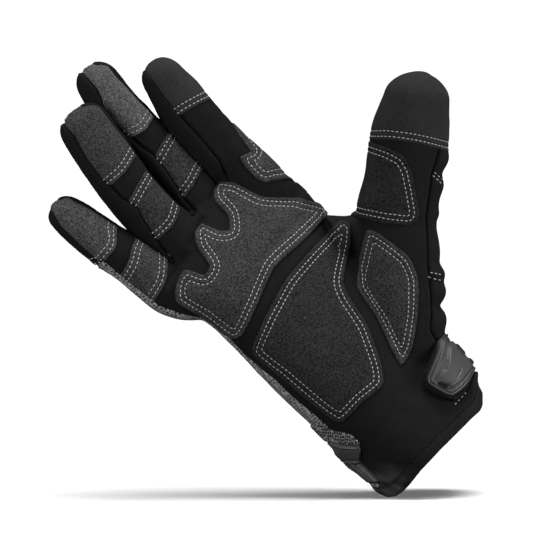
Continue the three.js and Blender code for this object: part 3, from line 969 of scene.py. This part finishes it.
# Patches and caps round the digits: each lies above its low line and below its high one
digitPatches = rowTable("name digit finish low high", [
    ("middle_tip_patch", "middle", "tip_suede",
     [(-20, 211), (-14, 210.2), (-6, 208.5), (0.5, 207), (4.5, 208), (10, 210)], None),
    ("middle_pad", "middle", "grey_suede",
     [(-20, 168), (-6.5, 170.5), (0, 172), (7, 174.5), (12, 175.5)],
     [(-20, 190), (-6.5, 194), (2, 197), (12, 200)]),
    ("ring_tip_patch", "ring", "tip_suede",
     [(-45, 198), (-29, 198.5), (-19.5, 198.5), (-12.5, 200.5), (-4, 204)], None),
    ("ring_pad", "ring", "grey_suede",
     [(-40, 165.5), (-27, 164), (-18, 165), (-12, 168.5), (-4, 172)],
     [(-40, 183), (-31, 186), (-24, 188.5), (-12, 192.5), (-4, 194)]),
    ("little_tip_patch", "little", "tip_suede",
     [(-70, 174), (-53, 174), (-45.5, 176), (-42, 180), (-36, 184)], None),
    ("little_pad", "little", "grey_suede",
     [(-66, 141), (-49, 144), (-38.5, 148.5), (-33, 154)],
     [(-70, 158), (-54, 163.5), (-47, 166), (-40, 170.5), (-34, 173)]),
    ("index_tip_cap", "index", "black_leather",
     [(0, 201.5), (20, 200.5), (30, 198), (45, 192)], None),
    ("thumb_tip_cap", "thumb", "black_leather",
     [(64, 146), (71, 137), (86, 123), (93.5, 113.5), (101, 101.5), (106, 92)], None),
])
# How far outside its digit such a patch may lie, how far ahead of the digit's middle it ends at
# the side nearer the thumb, how much of that is lost at the tip, and a cap's room to the strips
digitLimit = {"outside": 3, "inset": 6.0, "atTip": 1.3, "web": 0.3}
# How light each patch is beside its finish: partly the patch's own tone and partly painted light
# and shade, with the black caps coloured much lighter where light falls on the tips and the heel
# patch lower on the palm darker
patchToneAndPaintedLight = {
    "bridge_patch": 0.92, "heel_patch": 0.54, "thenar_patch": 0.82, "thumb_saddle_patch": 0.42,
    "index_side_patch": 1.0, "middle_tip_patch": 1.3, "middle_pad": 0.8, "ring_tip_patch": 0.66,
    "ring_pad": 0.75, "little_tip_patch": 0.92, "little_pad": 1.1, "index_tip_cap": 2.1,
    "thumb_tip_cap": 1.7,
}


# A patch's outer height over the skin: rounded at its cut edge and dipped at its stitch rows
def patchHeight(away, rowsAway, insets, walls, flush):
    wall, crown = walls
    edge = rounded(away, patchBuild["round"])
    thin = 1 - patchBuild["thin"] * np.exp(-flush / patchBuild["thinReach"])
    height = patchBuild["lift"] + edged(wall, patchBuild["base"], edge) * thin
    past = np.maximum(away - insets[-1], 0)
    height += crown * (1 - np.exp(-past / patchBuild["crownReach"]))
    for inset in insets:
        height -= patchBuild["rowDip"] * bell(rowsAway - inset, patchBuild["rowWide"])
    return height


# Where flush is small, at a side seam, the patch thins away into the seam
def addPatch(name, sheet, away, rowsAway, insets, walls, material, flush=None, seam=None):
    if flush is None:
        flush = np.full(len(away), 99.0)
    sheet = clip({**sheet, "edge": away, "rows": rowsAway, "flush": np.maximum(flush, 0)}, away)
    outer = patchHeight(sheet["edge"], sheet["rows"], insets, walls, sheet["flush"])
    if seam is not None:
        across = insideOutline(seam, sheet["points"])
        outer -= patchBuild["seamDip"] * bell(across, patchBuild["seamWide"])
    piece = wallObject(name, sheet, outer, patchBuild["under"], material, patchToneAndPaintedLight[name])
    place(piece, material.name.removeprefix("made_"), name)
    tops[name] = topOf(sheet, outer)
    stitchSource[name] = insets
    return piece


stitchInsets = {"palm": (2.3, 4.6), "digit": (1.7, 4.1), "cap": (1.5, 4.0)}
stitchSource = {}  # piece name to the insets of its rows
for name, corners in palmPatches.items():
    corners = curved(corners)

    def insidePatch(part):
        return np.minimum(insideOutline(corners, part["points"]), part["front"] - 1)

    part = finerPart(insidePatch(skin))
    away = insidePatch(part)
    piece = addPatch(name, part, away, away, stitchInsets["palm"], patchWall["palm"],
                     materials["grey_suede"])
for row in sidePatches:
    def sideLimit(part):
        own = part[row["digit"]][:, digitColumn["outside"]] if row["digit"] else 0
        return np.minimum(part["front"] + row["reach"], digitNear - own)

    rough = np.minimum(insideOutline(row["outline"], skin["points"]), sideLimit(skin))
    part = finerPart(rough)
    outline = insideOutline(row["outline"], part["points"])
    away = np.minimum(outline, sideLimit(part))
    flush = (part["points"][:, 2] - row["tail"]) / 2 if row["tail"] else None
    addPatch(row["name"], part, away, outline, stitchInsets["palm"], patchWall["side"],
             materials["grey_suede"], flush)
for row in digitPatches:
    name, digit = row["name"], row["digit"]
    kind = "cap" if name.endswith("cap") else "digit"

    def spans(part):
        ends = aboveLine(row["low"], part["points"])
        if row["high"]:
            ends = np.minimum(ends, -aboveLine(row["high"], part["points"]))
        side, back, along, outside = part[digit].T
        if kind == "cap":
            web = digitLimit["web"] - part["webs"].max(1)
            return ends, np.minimum(digitLimit["outside"] - outside, web)
        past = np.clip((along - limbs[digit]["at"][-1]) / digitTips[digit][0], 0, 1)
        inner = digitLimit["inset"] * (stepUp(side, 1) - digitLimit["atTip"] * past**2)
        seam = insideOutline(besideSeam(sideSeams[digit]), part["points"])
        return ends, np.minimum.reduce([
            digitLimit["outside"] - outside, -back - inner, -seam, part["front"] - 1,
            -part["webs"].max(1),
        ])

    part = finerPart(np.minimum(*spans(skin)))
    ends, sides = spans(part)
    addPatch(name, part, np.minimum(ends, sides), ends, stitchInsets[kind], patchWall[kind],
             materials[row["finish"]], sides, thumbBackArea if digit == "thumb" else None)
print("patches made")


# Stitches: rows taken along the level lines of each piece, each stitch a rounded bead

def contour(sheet, values):
    faces, points, normals = sheet["faces"], sheet["points"], sheet["normals"]
    valid = faces >= 0
    inside = values > 0
    hits = (inside[faces] & valid).sum(1)
    crossing = faces[(hits > 0) & (hits < valid.sum(1))].tolist()
    links = {}
    for face in crossing:
        loop = [v for v in face if v >= 0]
        keys = [(min(a, b), max(a, b)) for a, b in zip(loop, loop[1:] + loop[:1])
                if inside[a] != inside[b]]
        if len(keys) == 2:
            links.setdefault(keys[0], []).append(keys[1])
            links.setdefault(keys[1], []).append(keys[0])
    chains, seen = [], set()
    starts = [key for key, others in links.items() if len(others) == 1] + list(links)
    for start in starts:
        if start in seen:
            continue
        chain, here = [start], start
        seen.add(start)
        while True:
            ahead = [key for key in links[here] if key not in seen]
            if not ahead:
                break
            here = ahead[0]
            seen.add(here)
            chain.append(here)
        closed = len(chain) > 3 and start in links[here] and len(links[start]) == 2
        a, b = np.array(chain).T
        t = (values[a] / (values[a] - values[b]))[:, None]
        line = points[a] * (1 - t) + points[b] * t
        up = normals[a] * (1 - t) + normals[b] * t
        for _ in range(3):
            soft = (np.roll(line, 1, 0) + np.roll(line, -1, 0) + 2 * line) / 4
            line = soft if closed else np.vstack([line[:1], soft[1:-1], line[-1:]])
        length = np.linalg.norm(np.diff(line, axis=0), axis=1).sum()
        if length > 3:
            chains.append((line, unit(up), closed))
    return chains


def makeStitchTree():
    tree = bpy.data.node_groups.new("stitchRows", "GeometryNodeTree")
    tree.interface.new_socket("Geometry", in_out="INPUT", socket_type="NodeSocketGeometry")
    for label in ("Pitch", "Length", "Width", "Height", "Lift"):
        tree.interface.new_socket(label, in_out="INPUT", socket_type="NodeSocketFloat")
    tree.interface.new_socket("Thread", in_out="INPUT", socket_type="NodeSocketMaterial")
    tree.interface.new_socket("Geometry", in_out="OUTPUT", socket_type="NodeSocketGeometry")
    start = addNode(tree, "NodeGroupInput").outputs
    curve = addNode(tree, "GeometryNodeMeshToCurve", {"Mesh": start["Geometry"]})
    spaced = addNode(tree, "GeometryNodeResampleCurve",
                     {"Curve": curve.outputs["Curve"], "Length": start["Pitch"]}, mode="LENGTH")
    up = addNode(tree, "GeometryNodeInputNamedAttribute", {"Name": "up"},
                 data_type="FLOAT_VECTOR").outputs["Attribute"]
    lifted = addNode(tree, "ShaderNodeVectorMath", {0: up, "Scale": start["Lift"]},
                     operation="SCALE")
    moved = addNode(tree, "GeometryNodeSetPosition",
                    {"Geometry": spaced.outputs["Curve"], "Offset": lifted.outputs[0]})
    tangent = addNode(tree, "GeometryNodeInputTangent").outputs[0]
    along = addNode(tree, "FunctionNodeAlignRotationToVector", {"Vector": tangent}, axis="X")
    level = addNode(tree, "FunctionNodeAlignRotationToVector",
                    {"Rotation": along.outputs[0], "Vector": up}, axis="Z", pivot_axis="X")
    bead = addNode(tree, "GeometryNodeMeshUVSphere", {"Segments": 6, "Rings": 5, "Radius": 0.5})
    size = addNode(tree, "ShaderNodeCombineXYZ",
                   {"X": start["Length"], "Y": start["Width"], "Z": start["Height"]})
    shaped = addNode(tree, "GeometryNodeTransform",
                     {"Geometry": bead.outputs["Mesh"], "Scale": size.outputs[0]})
    spread = addNode(tree, "GeometryNodeInstanceOnPoints", {
        "Points": moved.outputs["Geometry"], "Instance": shaped.outputs["Geometry"],
        "Rotation": level.outputs[0],
    })
    real = addNode(tree, "GeometryNodeRealizeInstances", {"Geometry": spread.outputs["Instances"]})
    finish = addNode(tree, "GeometryNodeSetMaterial",
                     {"Geometry": real.outputs["Geometry"], "Material": start["Thread"]})
    addNode(tree, "NodeGroupOutput", {"Geometry": finish.outputs["Geometry"]})
    return tree


stitchTree = makeStitchTree()
stitchSize = {"Pitch": 0.0022, "Length": 0.0016, "Width": 0.00045, "Height": 0.00045,
              "Lift": 0.0001}


def sewRows(name, chains, material, slot):
    points, ups, edges, start = [], [], [], 0
    for line, up, closed in chains:
        count = len(line)
        points.append(line)
        ups.append(up)
        edges += [(start + i, start + i + 1) for i in range(count - 1)]
        if closed:
            edges.append((start + count - 1, start))
        start += count
    mesh = bpy.data.meshes.new("rows")
    mesh.from_pydata(toWorld(bowed(np.vstack(points))).tolist(), edges, [])
    up = mesh.attributes.new("up", "FLOAT_VECTOR", "POINT")
    up.data.foreach_set("vector", (toWorld(np.vstack(ups)) * 1000).ravel())
    rows = addObject("rows", mesh)
    sewing = rows.modifiers.new("sewing", "NODES")
    sewing.node_group = stitchTree
    values = {**stitchSize, "Thread": material}
    for item in stitchTree.interface.items_tree:
        if item.in_out == "INPUT" and item.name in values:
            sewing[item.identifier] = values[item.name]
    graph = bpy.context.evaluated_depsgraph_get()
    made = bpy.data.meshes.new_from_object(rows.evaluated_get(graph))
    made.name = name
    made.shade_smooth()
    bpy.data.objects.remove(rows)
    place(addObject(name, made), slot)


for name, insets in stitchSource.items():
    top = tops[name]
    chains = []
    for inset in insets:
        chains += contour(top, top["rows"] - inset)
    sewRows(f"stitches_{name}", chains, materials["thread"], "webbing")
print("stitches sewn")


# Short rows that hold a seam down, as lines seen from the palm side
shortRows = {
    "thumb": [((87.8, 97.9), (88, 93.5)), ((89.3, 98.5), (89.5, 94)),
              ((55.3, 65.7), (58.3, 61.2)), ((53.6, 63.8), (56.5, 59.2))],
    "tab": [((22.8, 10.5), (29.3, 10.7))],
    "little": [((-59.7, 179), (-56.9, 177.8)), ((-60.2, 176.2), (-57.4, 175))],
}


def sewShort():
    points = np.vstack([tops[name]["points"] for name in panels])
    loops, start = [], 0
    for name in panels:
        loops += [[v + start for v in face if v >= 0] for face in tops[name]["faces"].tolist()]
        start += len(tops[name]["points"])
    surface = BVHTree.FromPolygons(points.tolist(), loops)
    for name, segments in shortRows.items():
        chains = []
        for (ax, az), (bx, bz) in segments:
            line, up = [], []
            for t in np.linspace(0, 1, 9):
                aim = Vector((ax + (bx - ax) * t, -100, az + (bz - az) * t))
                hit, normal = surface.ray_cast(aim, Vector((0, 1, 0)))[:2]
                if hit is not None:
                    line.append(hit + normal * 0.2)
                    up.append(normal)
            if len(line) > 3:
                chains.append((np.array(line), np.array(up), False))
        if chains:
            sewRows(f"stitches_{name}_seam", chains, materials["thread"], "webbing")


sewShort()


# Hem round the wrist opening: a turned edge with a row of dark stitches
hem = {"swell": 0.35, "round": 1.6, "rowAt": 4.9, "rowDip": 0.25, "rowWide": 0.5}


def makeHem():
    z = skin["points"][:, 2]
    part = finerPart(np.minimum(z, hand["hemWidth"] - z), 2)
    z = part["points"][:, 2]
    sheet = cutSheet(part, np.minimum(z, hand["hemWidth"] - 0.1 - z))
    z = sheet["points"][:, 2]
    bulge = rounded(z, hem["round"])
    bulge -= 0.5 * stepUp(z - hem["rowAt"] + 1, 0.3)
    outer = hem["swell"] * bulge - hem["rowDip"] * bell(z - hem["rowAt"], hem["rowWide"])
    # The hem's leather takes the panels' darker painted tone and the painted highlight at the
    # cuff's corner
    piece = wallObject("cuff_hem", sheet, outer, -hand["wall"] - hem["swell"] * bulge,
                       materials["black_leather"], panelTone + cornerPaintedHighlight(sheet))
    place(piece, "webbing", "cuff_hem")
    row = contour(topOf(sheet, outer), z - hem["rowAt"])
    sewRows("stitches_cuff_hem", row, materials["dark_thread"], "webbing")


# Strap round the back of the wrist; its end shows on the palm side as a ridged pull
strap = {
    "wall": 1.8, "round": 0.8, "low": 9, "high": 30, "endLow": 8.3, "endHigh": 37.5,
    "endAcross": -34, "endLong": 20, "read": 1.8, "sideFrom": -30.5, "gap": 0.4,
    "outline": [(-70, 37.5), (-36, 37.2), (-25, 26.9), (-25.7, 24.8), (-30, 20.9),
                (-30.7, 18.3), (-29.7, 8.8), (-34, 8.3), (-70, 8.3)],
    "silhouette": [(5, -34.2), (9.2, -34.6), (20, -36), (28.4, -37), (30.7, -37), (33.2, -35.9),
                   (35.3, -35.9), (40, -36.2)],
    "ridges": [
        ((-35.4, 24.5), (-34, 9.9)), ((-33.4, 22.6), (-32.6, 9.9)), ((-31.6, 20.2), (-30.7, 9.9)),
        ((-38, 28), (-30.6, 20.9)), ((-38, 37.6), (-26.6, 27)),
    ],
}
strapRidge = {"high": 0.6, "wide": 0.45, "grooveAt": 0.95, "grooveWide": 0.4, "groove": 0.6,
              "from": -33.6, "read": 2.2, "lighter": 1.0, "darker": 0.45}
tab = {
    "wall": 2.2, "edge": 0.2, "round": 0.6, "inner": 10, "behind": 21, "read": 1.6,
    "readInside": 1.8,
    "base": [(60, 42), (38.7, 39.4), (35.8, 37.6), (32.3, 34.8), (26.8, 32.7), (22.2, 31.1),
             (19.2, 29), (17.6, 26.8), (17.7, 24.7), (18.9, 21), (20.9, 16.7), (22.8, 13.4),
             (24.3, 11.8), (28, 11.6), (32, 11.9), (36, 12.1), (60, 12.5)],
    "outline": [(60, 40), (37.8, 38), (36.4, 36.5), (34.2, 34.7), (30.5, 33), (25.7, 31.1),
                (21.5, 29.3), (20, 27.4), (19.9, 25.5), (21, 21.7), (22.9, 16.4), (24.6, 14.4),
                (29.3, 13.7), (34.3, 13.2), (39, 13.2), (60, 13.5)],
    "panel": [(60, 36), (38.8, 32.6), (34.1, 28.4), (30.1, 26.4), (26.4, 25.6), (23.9, 24.2),
              (24.6, 21.5), (26.4, 19.5), (25.9, 18), (28, 17.2), (33, 16.6), (40, 16.2),
              (60, 17)],
    "recess": [(21.9, 24.6), (24, 23.6), (26.3, 19.6), (25.2, 17.9), (23.6, 19.9)],
    "slits": [((30, 25.7), (33.9, 28)), ((30.9, 19.3), (35.3, 20.5))],
    "teeth": [(33.4, 37.2), (23.8, 30), (16.8, 20.6)],
    "rimAt": 1.35, "rimDip": 0.8, "rimWide": 0.3, "floorFrom": 2.5, "floorDip": 1.0,
    "panelRise": 1.4, "recessDip": 0.8, "slitDip": 0.7, "slitWide": 0.4, "toothRise": 0.9,
    "toothDip": 0.5, "under": 0.3,
}
tabBase = {"wall": 0.7, "lower": 0.5, "deep": 6.0, "read": 0.2, "rowAt": 0.9}


# Outlines are drawn as seen on a raised face, so they are read there
def tabValue(part, outline, lift):
    behind = tab["behind"] - part["points"][:, 1]
    inside = insideOutline(outline, raised(part, lift))
    return np.minimum.reduce([inside, behind, part["points"][:, 0] - tab["inner"]])


# Distance inside the strap: a band behind the wrist, and its shaped end on the palm side
def strapValue(part):
    x, y, z = raised(part, strap["read"]).T
    t = np.clip((x - strap["endAcross"]) / strap["endLong"], 0, 1)
    t = t * t * (3 - 2 * t)
    low = strap["endLow"] + (strap["low"] - strap["endLow"]) * t
    high = strap["endHigh"] + (strap["high"] - strap["endHigh"]) * t
    band = np.minimum(z - low, high - z)
    behind = np.minimum(band, 25 - 50 * stepUp(-y, 1))
    ahead = np.minimum(insideOutline(strap["outline"], raised(part, strap["read"])), -20 - x)
    inTab = np.minimum(tab["behind"] + strap["gap"] - y, x - tab["inner"])
    return np.minimum(np.maximum(behind, ahead), -inTab)


# Distance from a short line seen from the palm side
def fromLine(start, end, points):
    a, b = np.array(start, float), np.array(end, float)
    p = points[:, [0, 2]]
    t = np.clip(((p - a) @ (b - a)) / ((b - a) @ (b - a)), 0, 1)
    return np.linalg.norm(p - a - t[:, None] * (b - a), axis=1)


def makeStrap():
    sheet = cutPart(strapValue)
    edge = rounded(sheet["edge"], strap["round"])
    outer = patchBuild["lift"] + edged(strap["wall"], patchBuild["base"], edge)
    across, behind, up = sheet["points"].T
    levels = np.arange(6, 42)
    bare = [skin["points"][np.abs(skin["points"][:, 2] - z) < 0.8, 0].min() for z in levels]
    seen = np.interp(up, levels, bare) - np.interp(up, *zip(*strap["silhouette"]))
    atSide = stepUp(strap["sideFrom"] - across, 0.7) * stepUp(12 - behind, 2)
    outer += (np.maximum(seen, 0.6) * edge - outer) * atSide
    ridge = strapRidge
    facing = stepUp(-behind - 2, 1) * stepUp(across - ridge["from"], 0.3)
    tone = np.ones(len(outer))
    for start, end in strap["ridges"]:
        away = fromLine(start, end, raised(sheet, ridge["read"]))
        high = facing * bell(away, ridge["wide"])
        low = facing * bell(away - ridge["grooveAt"], ridge["grooveWide"])
        outer += ridge["high"] * (high - ridge["groove"] * low)
        # Painted highlight along each ridge and painted shade in the groove beside it
        tone += ridge["lighter"] * high - ridge["darker"] * low
    piece = wallObject("wrist_strap", sheet, outer, patchBuild["under"],
                       materials["webbing"], tone)
    place(piece, "webbing", "wrist_strap")


# The tab's own stiff shape: its section round the thumb side of the wrist, palm side first
tabCurve = [(14, -20.2), (17.6, -20.4), (22, -20), (27, -18.2), (32, -14.6), (36, -9.4),
            (39, -2.5), (39.8, 5), (38.6, 12), (36, 18.5), (33, 23.5)]
tabStep = {"base": 0.6, "tab": 0.35, "smoothing": 2.5, "low": 6, "high": 46}


def makeTabSheet(step):
    knots = np.array(tabCurve, float)
    at = np.concatenate([[0], np.cumsum(np.linalg.norm(np.diff(knots, axis=0), axis=1))])
    fine = np.arange(0, at[-1], step)
    line = np.stack([np.interp(fine, at, knots[:, k]) for k in (0, 1)], 1)
    for _ in range(round((tabStep["smoothing"] / step) ** 2)):
        line[1:-1] = (line[:-2] + 2 * line[1:-1] + line[2:]) / 4
    slope = unit(np.gradient(line, axis=0))
    heights = np.arange(tabStep["low"], tabStep["high"], step)
    rows, columns = len(heights), len(line)
    points = np.zeros((rows, columns, 3))
    points[:, :, [0, 1]] = line
    points[:, :, 2] = heights[:, None]
    normals = np.zeros_like(points)
    normals[:, :, 0], normals[:, :, 1] = slope[:, 1], -slope[:, 0]
    i = (np.arange(rows - 1)[:, None] * columns + np.arange(columns - 1)).ravel()
    faces = np.full((len(i), faceRoom), -1)
    faces[:, :4] = np.stack([i, i + 1, i + 1 + columns, i + columns], 1)
    flat = points.reshape(-1, 3)
    return {"points": flat, "normals": normals.reshape(-1, 3), "faces": faces,
            "weave": flat[:, [1, 2]]}


def makeTabBase():
    part = makeTabSheet(tabStep["base"])
    sheet = cutSheet(part, tabValue(part, tab["base"], tabBase["read"]))
    outer = tabBase["wall"] * rounded(sheet["edge"], tabBase["wall"]) - tabBase["lower"]
    piece = wallObject("tab_base", sheet, outer, -tabBase["deep"], materials["black_leather"],
                       panelTone)
    place(piece, "black_leather")
    row = contour(topOf(sheet, tabBase["read"]), sheet["edge"] - tabBase["rowAt"])
    sewRows("stitches_tab_base", row, materials["dark_thread"], "webbing")


def makeTab():
    part = makeTabSheet(tabStep["tab"])
    sheet = cutSheet(part, tabValue(part, tab["outline"], tab["read"]))
    points = raised(sheet, tab["readInside"])
    edge = rounded(sheet["edge"], tab["round"])
    outer = edged(tab["wall"], tab["edge"], edge)
    outer -= tab["rimDip"] * bell(sheet["edge"] - tab["rimAt"], tab["rimWide"])
    outer -= tab["floorDip"] * stepUp(sheet["edge"] - tab["floorFrom"], 0.15)
    panel = insideOutline(tab["panel"], points)
    outer += tab["panelRise"] * stepUp(panel - 0.35, 0.2)
    recess = insideOutline(tab["recess"], points)
    outer -= tab["recessDip"] * stepUp(recess - 0.15, 0.1)
    for start, end in tab["slits"]:
        outer -= tab["slitDip"] * bell(fromLine(start, end, points), tab["slitWide"])
    around = stepUp(points[:, 1] + 4, 0.6)
    notch = np.zeros(len(points))
    for low, high in tab["teeth"]:
        notch += stepUp(points[:, 2] - low, 0.25) * stepUp(high - points[:, 2], 0.25)
    outer += around * (tab["toothRise"] * notch - tab["toothDip"])
    # Darker where the teeth wrap round, and painted shade in the recess
    tone = 1 - 0.8 * around * notch - 0.6 * stepUp(recess, 0.1)
    piece = wallObject("strap_tab", sheet, outer, -tab["under"], materials["rubber"], tone)
    place(piece, "rubber", "strap_tab")


# Open mesh between the knit and the strap's end
sideMesh = {
    "outline": [(-45, 50), (-33, 47.5), (-30.1, 41), (-26.7, 37), (-24.2, 33), (-23.6, 28.5),
                (-24.6, 27.4), (-32.7, 34.6), (-36, 37.9), (-45, 44)],
    "wall": 0.7, "base": 0.4, "round": 0.8, "behind": 12, "read": 1.0,
}


def makeSideMesh():
    outline = curved(sideMesh["outline"], slack=0.2)

    def value(part):
        inside = insideOutline(outline, raised(part, sideMesh["read"]))
        return np.minimum(inside, sideMesh["behind"] - part["points"][:, 1])

    sheet = cutPart(value, 2.5)
    edge = np.sqrt(np.clip(sheet["edge"] / sideMesh["round"], 0, 1))
    outer = patchBuild["lift"] + edged(sideMesh["wall"], sideMesh["base"], edge)
    sheet["weave"] = toWorld(sheet["points"])[:, [0, 2]] * 1000
    piece = wallObject("side_mesh", sheet, outer, patchBuild["under"],
                       materials["open_mesh"])
    place(piece, "grey_knit", "side_mesh")


makeHem()
makeStrap()
makeTabBase()
makeTab()
makeSideMesh()
print("cuff, strap and tab made")


# Floor, light and camera
photo = {
    "millimetresPerPixel": 0.48, "size": 550, "originX": 434, "originY": 451,
    "distance": 2.5, "sensor": 36.0, "raised": 0.125, "aimed": -0.0006,
}


# Suns and square lamps: a sun's width is in degrees, a lamp's in metres
lights = rowTable("name kind energy place target wide", [
    ("overhead", "SUN", 3.1, (0.17, 0, 2.0), (0, 0, 0), 32),
    ("overhead_soft", "SUN", 0.7, (-0.1, 0, 2.0), (0, 0, 0), 70),
    ("key", "AREA", 5, (-0.6, -0.72, 0.26), (-0.07, 0, 0.1), 0.4),
    ("right", "AREA", 5, (0.75, -0.2, 0.14), (0, 0, 0.1), 0.3),
])


def addLight(row):
    data = bpy.data.lights.new(row["name"], row["kind"])
    data.energy = row["energy"]
    if row["kind"] == "SUN":
        data.angle = math.radians(row["wide"])
    else:
        data.size = row["wide"]
    obj = addObject(row["name"], data)
    aim = Vector(row["target"]) - Vector(row["place"])
    obj.location = row["place"]
    obj.rotation_euler = aim.to_track_quat("-Z", "Y").to_euler()


# Floor and sky look white to the camera, and light the glove less than that
studio = {"half": 20.0, "floorSeen": 0.86, "floorLights": 0.12, "skySeen": 1.1, "skyLights": 0.07}


# One value for the camera, and another for the light that a surface sends on
def seenAs(tree, seen, lights):
    path = addNode(tree, "ShaderNodeLightPath").outputs["Is Camera Ray"]
    node = addNode(tree, "ShaderNodeMapRange", {"Value": path, "To Min": lights, "To Max": seen})
    return node.outputs[0]


def makeStage():
    low = min(corner[2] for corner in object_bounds())
    mesh = bpy.data.meshes.new("floor")
    half = studio["half"]
    corners = [(-half, -half, low), (half, -half, low), (half, half, low), (-half, half, low)]
    mesh.from_pydata(corners, [], [(0, 1, 2, 3)])
    material = bpy.data.materials.new("floor")
    material.use_nodes = True
    tree = material.node_tree
    white = seenAs(tree, studio["floorSeen"], studio["floorLights"])
    feed(tree, tree.nodes["Principled BSDF"],
         {"Base Color": white, "Roughness": 1.0, "Specular IOR Level": 0.0})
    mesh.materials.append(material)
    addObject("floor", mesh)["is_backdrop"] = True


def makeWorld():
    world = bpy.data.worlds.new("studio")
    world.use_nodes = True
    bpy.context.scene.world = world
    tree = world.node_tree
    strength = seenAs(tree, studio["skySeen"], studio["skyLights"])
    feed(tree, tree.nodes["Background"], {"Color": (1, 1, 1, 1), "Strength": strength})


def makeCamera():
    middle = photo["size"] / 2
    x = (middle - photo["originX"]) * photo["millimetresPerPixel"] / 1000
    z = (photo["originY"] - middle) * photo["millimetresPerPixel"] / 1000
    data = bpy.data.cameras.new("camera")
    data.sensor_width = photo["sensor"]
    seen = photo["size"] * photo["millimetresPerPixel"] / 1000
    data.lens = photo["sensor"] * photo["distance"] / seen
    data.clip_end = 100
    camera = addObject("camera", data)
    down = math.atan2(photo["raised"], photo["distance"])
    camera.location = (x, -photo["distance"], z + photo["raised"] + photo["aimed"])
    camera.rotation_euler = (math.pi / 2 - down, 0, 0)
    bpy.context.scene.camera = camera


makeStage()
makeWorld()
makeCamera()
for row in lights:
    addLight(row)
bpy.context.scene.view_settings.view_transform = "Standard"
